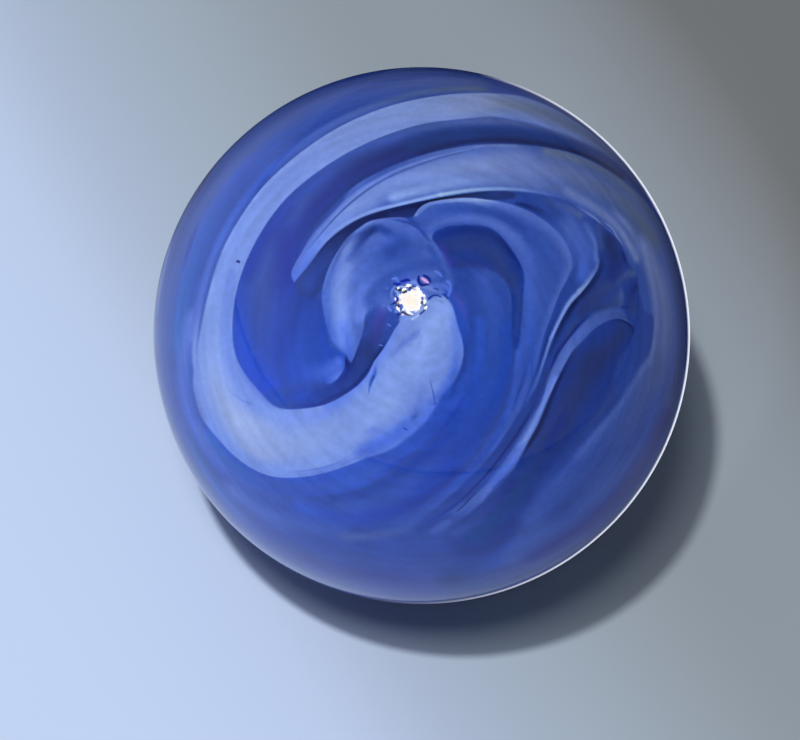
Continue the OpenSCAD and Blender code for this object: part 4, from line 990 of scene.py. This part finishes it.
def paint(points):
    """Colour of the glass, as it is seen, at points in the eye frame, and whether a fine line is close."""
    maps = {EYE: flat_map(points), TAIL: flat_map(points * np.array([-1, 1, -1]))}
    colours = np.tile(tone(GROUND_TONE), (len(points), 1))
    fine = np.zeros(len(points), bool)
    for pole, base, outline, strokes in FIELDS:
        places = maps[pole]
        covered = field_cover(outline, places) if outline else np.ones(len(points))
        touched = np.nonzero(covered > 0)[0]
        fill = np.tile(tone(base), (len(touched), 1)) if outline else colours.copy()
        for _, *tones, stations in strokes:
            first, last = tone(tones[0]), tone(tones[-1])
            cover, share, close = stroke_cover(stations, places[touched])
            fresh = first + share[:, None] * (last - first)
            fill = lay(fill, cover, fresh)
            fine[touched] |= close
        colours[touched] = lay(colours[touched], covered[touched], fill)
    return colours, fine


def to_linear(colours):
    """Light of a colour as it is seen, by the sRGB formula."""
    low = colours / 12.92
    high = ((colours + 0.055) / 1.055) ** 2.4
    return np.where(colours <= 0.04045, low, high)


def mesh_points(mesh, first=0):
    """Positions of a bmesh's vertices, from one number on."""
    mesh.verts.ensure_lookup_table()
    return np.array([v.co for v in mesh.verts[first:]]).reshape(-1, 3)


def round_ball(mesh):
    """Puts every vertex back on the ball."""
    for v in mesh.verts:
        v.co = v.co.normalized() * BALL_R


def split(mesh, marked):
    """Splits edges of the ball's mesh in their middles."""
    bmesh.ops.subdivide_edges(mesh, edges=marked, cuts=1)
    round_ball(mesh)
    bmesh.ops.triangulate(mesh, faces=[f for f in mesh.faces if len(f.verts) > 3])
    mesh.verts.index_update()


def rough_edges(mesh, colours, first):
    """Edges with an end numbered first or later over which the colour turns, or that cross a thin line."""
    edges = [e for e in mesh.edges if max(v.index for v in e.verts) >= first]
    ends = np.array([[v.index for v in e.verts] for e in edges])
    places = mesh_points(mesh)[ends]
    size = np.linalg.norm(places[:, 0] - places[:, 1], axis=1)
    middle, fine = paint(eye_frame(places.mean(1)))
    miss = np.abs(middle - colours[ends].mean(1)).max(1)
    wanted = (miss > COLOUR_STEP) & (size > FINEST_EDGE) | fine & (size > THIN_EDGE)
    return [edges[i] for i in np.nonzero(wanted)[0]]


def glass_mesh():
    """The ball's mesh, with more vertices where the colour turns, and their colours."""
    mesh = bmesh.new()
    bmesh.ops.create_icosphere(mesh, subdivisions=COARSE_STEPS, radius=BALL_R)
    split(mesh, [e for e in mesh.edges if e.verts[0].co.dot(OUTWARD) > FRONT * BALL_R])
    colours, _ = paint(eye_frame(mesh_points(mesh)))
    first = 0
    for _ in range(SPLIT_ROUNDS):
        marked = rough_edges(mesh, colours, first)
        first = len(colours)
        split(mesh, marked)
        colours = np.vstack([colours, paint(eye_frame(mesh_points(mesh, first)))[0]])
    for face in mesh.faces:
        face.smooth = True
    wear_surface(mesh)
    data = bpy.data.meshes.new("swirl_marble")
    mesh.to_mesh(data)
    mesh.free()
    return data, colours


def dent_profile(distance, radius, tilt):
    """Depth of a round-bottomed dent in ball radii; tilt is the steepest slope of its wall in degrees."""
    depth = math.radians(radius) * math.radians(tilt) * DENT_SHARE
    return depth * np.clip(1 - (distance / radius) ** 2, 0, 1) ** 2


def wear_surface(mesh):
    """Sinks the chips and scratches into the ball's surface."""
    points = mesh_points(mesh)
    places = flat_map(eye_frame(points))
    depth = np.zeros(len(places))
    for east, north, radius, tilt in CHIPS:
        depth += dent_profile(np.hypot(*(places - (east, north)).T), radius, tilt)
    for stations in SCRATCHES:
        path = stroke_path(stations)
        pick = near(path, places, SCRATCH_WIDTH)
        if len(pick):
            distance = nearest_on(path, places[pick])[:, 0]
            depth[pick] += dent_profile(distance, SCRATCH_WIDTH, SCRATCH_TILT)
    for v, d in zip(mesh.verts, depth):
        v.co = v.co * (1 - d)


def add_colours(data, colours):
    """Keeps the glass colours in the mesh."""
    layer = data.color_attributes.new(SWIRL, "FLOAT_COLOR", "POINT")
    rgba = np.column_stack([to_linear(colours), np.ones(len(colours))])
    layer.data.foreach_set("color", rgba.astype(np.float32).ravel())


def place(name, data):
    """Puts a new object into the scene."""
    thing = bpy.data.objects.new(name, data)
    bpy.context.scene.collection.objects.link(thing)
    return thing


def link(tree, source, target):
    """Joins an output to an input."""
    tree.links.new(source, target)


def along(tree, source, direction):
    """Node that gives how far a vector runs along a direction."""
    dot = tree.nodes.new("ShaderNodeVectorMath")
    dot.operation = "DOT_PRODUCT"
    link(tree, source, dot.inputs[0])
    dot.inputs[1].default_value = direction
    return dot.outputs["Value"]


def calculate(tree, operation, *values):
    """Node that works out one number from others, which are outputs or plain numbers."""
    node = tree.nodes.new("ShaderNodeMath")
    node.operation = operation
    for socket, value in zip(node.inputs, values):
        if isinstance(value, (int, float)):
            socket.default_value = value
        else:
            link(tree, value, socket)
    return node.outputs["Value"]


def rise(tree, source, span, low, high):
    """Node that goes smoothly from low to high as its source crosses a span."""
    ramp = tree.nodes.new("ShaderNodeMapRange")
    ramp.interpolation_type = "SMOOTHSTEP"
    for name, value in zip(("From Min", "From Max", "To Min", "To Max"), (*span, low, high)):
        ramp.inputs[name].default_value = value
    link(tree, source, ramp.inputs["Value"])
    return ramp.outputs["Result"]


def blend(tree, amount, low, high):
    """Node that goes from one colour to another."""
    mix = tree.nodes.new("ShaderNodeMix")
    mix.data_type = "RGBA"
    first, second = [s for s in mix.inputs if s.type == "RGBA"]
    first.default_value = (*low, 1)
    second.default_value = (*high, 1)
    link(tree, amount, mix.inputs["Factor"])
    return [s for s in mix.outputs if s.type == "RGBA"][0]


def noise(tree, where, scale, detail):
    """Node of soft random clouds, from 0 to 1."""
    clouds = tree.nodes.new("ShaderNodeTexNoise")
    clouds.inputs["Scale"].default_value = scale
    clouds.inputs["Detail"].default_value = detail
    link(tree, where, clouds.inputs["Vector"])
    return clouds.outputs["Fac"]


def mottle(tree, where, look, share):
    """Node of numbers round 1 that differ from it by up to a share, in soft random clouds."""
    return rise(tree, noise(tree, where, *look), NOISE_SPAN, 1 - share, 1 + share)


def drawn_out(tree, spot):
    """Vector in which clouds become streaks that run round the eye, as the glass was drawn."""
    east, north, outward = (along(tree, spot, tuple(axis / BALL_R)) for axis in (EAST, NORTH, OUTWARD))
    flat = tree.nodes.new("ShaderNodeCombineXYZ")
    link(tree, east, flat.inputs["X"])
    link(tree, north, flat.inputs["Y"])
    bearing = tree.nodes.new("ShaderNodeVectorMath")
    bearing.operation = "NORMALIZE"
    link(tree, flat.outputs["Vector"], bearing.inputs[0])
    parts = tree.nodes.new("ShaderNodeSeparateXYZ")
    link(tree, bearing.outputs["Vector"], parts.inputs["Vector"])
    streak = tree.nodes.new("ShaderNodeCombineXYZ")
    link(tree, calculate(tree, "MULTIPLY", parts.outputs["X"], STREAKS_ROUND), streak.inputs["X"])
    link(tree, calculate(tree, "MULTIPLY", parts.outputs["Y"], STREAKS_ROUND), streak.inputs["Y"])
    arc = calculate(tree, "ARCCOSINE", calculate(tree, "MINIMUM", outward, 1.0))
    link(tree, calculate(tree, "MULTIPLY", arc, STREAKS_OUTWARD), streak.inputs["Z"])
    return streak.outputs["Vector"]


def scaled(tree, colour, amount):
    """Node that makes a colour lighter or darker by an amount round 1."""
    vector = tree.nodes.new("ShaderNodeVectorMath")
    vector.operation = "SCALE"
    link(tree, colour, vector.inputs[0])
    link(tree, amount, vector.inputs["Scale"])
    return vector.outputs["Vector"]


def glass_material():
    """Polished glass with the swirl in it, faint streaks and clouds, and a skin that is a little worn."""
    material = bpy.data.materials.new("swirl_glass")
    material.use_nodes = True
    tree = material.node_tree
    shader = tree.nodes["Principled BSDF"]
    shader.inputs["IOR"].default_value = GLASS_IOR
    swirl = tree.nodes.new("ShaderNodeAttribute")
    swirl.attribute_name = SWIRL
    spot = tree.nodes.new("ShaderNodeTexCoord").outputs["Object"]
    streaks = mottle(tree, drawn_out(tree, spot), STREAK_NOISE, STREAKS)
    clouds = mottle(tree, spot, CLOUD_NOISE, CLOUDS)
    grain = mottle(tree, spot, GRAIN_NOISE, GRAIN)
    amount = calculate(tree, "MULTIPLY", calculate(tree, "MULTIPLY", streaks, clouds), grain)
    link(tree, scaled(tree, swirl.outputs["Color"], amount), shader.inputs["Base Color"])
    haze = rise(tree, noise(tree, spot, *HAZE_NOISE), HAZE_SPAN, *ROUGHNESS)
    link(tree, haze, shader.inputs["Roughness"])
    pits = tree.nodes.new("ShaderNodeBump")
    pits.inputs["Strength"].default_value = PIT_STRENGTH
    pits.inputs["Distance"].default_value = PIT_DEPTH
    link(tree, noise(tree, spot, *PIT_NOISE), pits.inputs["Height"])
    link(tree, pits.outputs["Normal"], shader.inputs["Normal"])
    return material


def build_marble():
    """The marble itself, in place of its CAD body."""
    data, colours = glass_mesh()
    add_colours(data, colours)
    data.materials.append(glass_material())
    marble = place("swirl_marble", data)
    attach(marble, "root")
    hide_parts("marble")
    return marble


def facing(direction):
    """A direction given in the eye frame, in the model's frame."""
    east, north, outward = direction
    return (EAST * east + NORTH * north + OUTWARD * outward).normalized()


def add_camera():
    """The camera, turned so that the ball stands at its place in the picture."""
    aside = EAST * BALL_OFFSET_PX[0] + NORTH * BALL_OFFSET_PX[1]
    back = (OUTWARD + aside / FOCAL_PX).normalized()
    right = NORTH.cross(back).normalized()
    up = back.cross(right)
    data = bpy.data.cameras.new("camera")
    data.sensor_width = SENSOR
    data.lens = SENSOR * FOCAL_PX / PICTURE_WIDTH
    data.clip_start = CLIP_START
    data.clip_end = CLIP_END
    camera = place("camera", data)
    turned = Matrix((right, up, back)).transposed().to_4x4()
    turned.translation = OUTWARD * CAMERA_DISTANCE
    camera.matrix_world = turned
    bpy.context.scene.camera = camera


def add_lamp(name, direction, width, watts, colour, distance=LAMP_DISTANCE):
    """A round soft lamp that faces the ball; width is its angle as seen from there."""
    data = bpy.data.lights.new(name, "AREA")
    data.shape = "DISK"
    data.size = 2 * distance * math.tan(math.radians(width / 2))
    data.energy = watts
    data.color = colour
    lamp = place(name, data)
    towards = facing(direction)
    turned = towards.to_track_quat("Z", "Y").to_matrix().to_4x4()
    turned.translation = towards * distance
    lamp.matrix_world = turned
    return lamp


def light_only(lamp, thing):
    """Keeps a lamp's light to one thing."""
    lit = bpy.data.collections.new(lamp.name + "_lights")
    lit.objects.link(thing)
    lamp.light_linking.receiver_collection = lit


def add_key_lamp(ball):
    """The lamp over the ball; its mirror image comes from a dimmer, warmer twin just below it."""
    lamp = add_lamp("lamp", LAMP_AT, LAMP_WIDTH, LAMP_WATTS, LAMP_COLOUR)
    lamp.visible_glossy = False
    gloss = add_lamp("lamp_gloss", LAMP_AT, LAMP_WIDTH, GLOSS_WATTS, GLOSS_COLOUR, GLOSS_DISTANCE)
    gloss.visible_diffuse = False
    light_only(gloss, ball)


def add_room():
    """Soft light from all round: bright on one side, dim on the other and overhead."""
    world = bpy.data.worlds.new("room")
    world.use_nodes = True
    bpy.context.scene.world = world
    tree = world.node_tree
    sky = tree.nodes["Background"]
    place_in_sky = tree.nodes.new("ShaderNodeTexCoord").outputs["Generated"]
    side = rise(tree, along(tree, place_in_sky, facing(BRIGHT_SIDE)), WALL_SPAN, 0, 1)
    link(tree, blend(tree, side, DIM_WALL, BRIGHT_WALL), sky.inputs["Color"])
    upward = along(tree, place_in_sky, facing(CEILING_AT))
    overhead = rise(tree, upward, CEILING_SPAN, SIDE_LIGHT, CEILING_LIGHT)
    height = rise(tree, along(tree, place_in_sky, (0, 0, 1)), HORIZON_SPAN, HORIZON_LIGHT, 1)
    link(tree, calculate(tree, "MULTIPLY", overhead, height), sky.inputs["Strength"])


def floor_material():
    """Pale matt floor with painted light: its colour is lightest towards the bright side of the room."""
    material = bpy.data.materials.new("floor")
    material.use_nodes = True
    tree = material.node_tree
    shader = tree.nodes["Principled BSDF"]
    shader.inputs["Roughness"].default_value = FLOOR_ROUGHNESS
    shader.inputs["Specular IOR Level"].default_value = FLOOR_SPECULAR
    place_on_floor = tree.nodes.new("ShaderNodeTexCoord").outputs["Object"]
    across = along(tree, place_on_floor, EAST * FLOOR_AXIS[0] + NORTH * FLOOR_AXIS[1])
    span = tree.nodes.new("ShaderNodeMapRange")
    first, last = FLOOR_PAINTED_LIGHT[0][0], FLOOR_PAINTED_LIGHT[-1][0]
    span.inputs["From Min"].default_value = first * BALL_R
    span.inputs["From Max"].default_value = last * BALL_R
    link(tree, across, span.inputs["Value"])
    ramp = tree.nodes.new("ShaderNodeValToRGB")
    ramp.color_ramp.interpolation = "B_SPLINE"
    stops = ramp.color_ramp.elements
    for _ in range(len(FLOOR_PAINTED_LIGHT) - len(stops)):
        stops.new(0.5)
    for stop, (position, _) in zip(stops, FLOOR_PAINTED_LIGHT):
        stop.position = (position - first) / (last - first)
    for stop, (_, colour) in zip(stops, FLOOR_PAINTED_LIGHT):
        stop.color = (*colour, 1)
    link(tree, span.outputs["Result"], ramp.inputs["Fac"])
    link(tree, ramp.outputs["Color"], shader.inputs["Base Color"])
    return material


def add_floor():
    """The floor that the ball stands on, with a lamp of its own for the ball's shadow."""
    corners = []
    for i in range(FLOOR_SIDES):
        angle = 2 * math.pi * i / FLOOR_SIDES
        corners.append((FLOOR_R * math.cos(angle), FLOOR_R * math.sin(angle), -BALL_R))
    data = bpy.data.meshes.new("floor")
    data.from_pydata(corners, [], [range(FLOOR_SIDES)])
    data.materials.append(floor_material())
    floor = place("floor", data)
    lamp = add_lamp("floor_lamp", FLOOR_LAMP_AT, FLOOR_LAMP_WIDTH, FLOOR_LAMP_WATTS, LAMP_COLOUR)
    light_only(lamp, floor)


def seen_in_rim(bearing, depth_px):
    """The place on the floor that is mirrored so many pixels inside the ball's outline."""
    reach = (BALL_RADIUS_PX - depth_px) / FOCAL_PX
    ray = facing((reach * math.cos(bearing), reach * math.sin(bearing), -1))
    camera = OUTWARD * CAMERA_DISTANCE
    halfway = -camera.dot(ray)
    within_ball = halfway ** 2 - CAMERA_DISTANCE ** 2 + BALL_R ** 2
    distance = halfway - math.sqrt(max(within_ball, 0))
    spot = camera + ray * distance
    away = ray.reflect(spot.normalized())
    return spot + away * ((CARD_HEIGHT - BALL_R - spot.z) / away.z)


def rim_light(bearing, depth_px):
    """Light of the card and how much of the floor it hides, where it is mirrored in the rim."""
    angle = (math.degrees(bearing) - RIM_LIGHT[0][0]) % 360 + RIM_LIGHT[0][0]
    bearings = [row[0] for row in RIM_LIGHT]
    light, outer, inner = (np.interp(angle, bearings, column) for column in zip(*(r[1:] for r in RIM_LIGHT)))
    cover = np.interp(depth_px, RIM_DEPTHS, [outer, outer, inner, inner * INNER_FADE, 0])
    bright = light * np.interp(depth_px, RIM_DEPTHS, [1, 1, 0, 0, 0])
    return [*(bright * np.array(RIM_COLOUR) + np.array(RIM_SHADE)), cover]


def card_material():
    """A card that only mirrors see: light where it is bright, dark glassy blue where it is not."""
    material = bpy.data.materials.new("rim_card")
    material.use_nodes = True
    tree = material.node_tree
    tree.nodes.remove(tree.nodes["Principled BSDF"])
    light = tree.nodes.new("ShaderNodeAttribute")
    light.attribute_name = CARD_LIGHT
    glow = tree.nodes.new("ShaderNodeEmission")
    clear = tree.nodes.new("ShaderNodeBsdfTransparent")
    mix = tree.nodes.new("ShaderNodeMixShader")
    link(tree, light.outputs["Color"], glow.inputs["Color"])
    link(tree, light.outputs["Alpha"], mix.inputs["Fac"])
    link(tree, clear.outputs["BSDF"], mix.inputs[1])
    link(tree, glow.outputs["Emission"], mix.inputs[2])
    link(tree, mix.outputs["Shader"], tree.nodes["Material Output"].inputs["Surface"])
    material.cycles.emission_sampling = "NONE"
    return material


def add_rim_card():
    """A ring-shaped card just over the floor: the bright line and the dark band in the ball's rim."""
    corners, lights, faces = [], [], []
    rows = len(CARD_DEPTHS)
    for i in range(CARD_STEPS):
        bearing = 2 * math.pi * i / CARD_STEPS
        for j, depth_px in enumerate(CARD_DEPTHS):
            corners.append(seen_in_rim(bearing, depth_px))
            lights.append(rim_light(bearing, depth_px))
            if j:
                here, beyond = i * rows + j, (i + 1) % CARD_STEPS * rows + j
                faces.append((here - 1, here, beyond, beyond - 1))
    data = bpy.data.meshes.new("rim_card")
    data.from_pydata(corners, [], faces)
    layer = data.color_attributes.new(CARD_LIGHT, "FLOAT_COLOR", "POINT")
    layer.data.foreach_set("color", np.array(lights, np.float32).ravel())
    data.materials.append(card_material())
    card = place("rim_card", data)
    for ray in ("camera", "diffuse", "transmission", "volume_scatter", "shadow"):
        setattr(card, f"visible_{ray}", False)


add_camera()
add_room()
add_floor()
add_rim_card()
add_key_lamp(build_marble())
bpy.context.scene.view_settings.view_transform = "Standard"
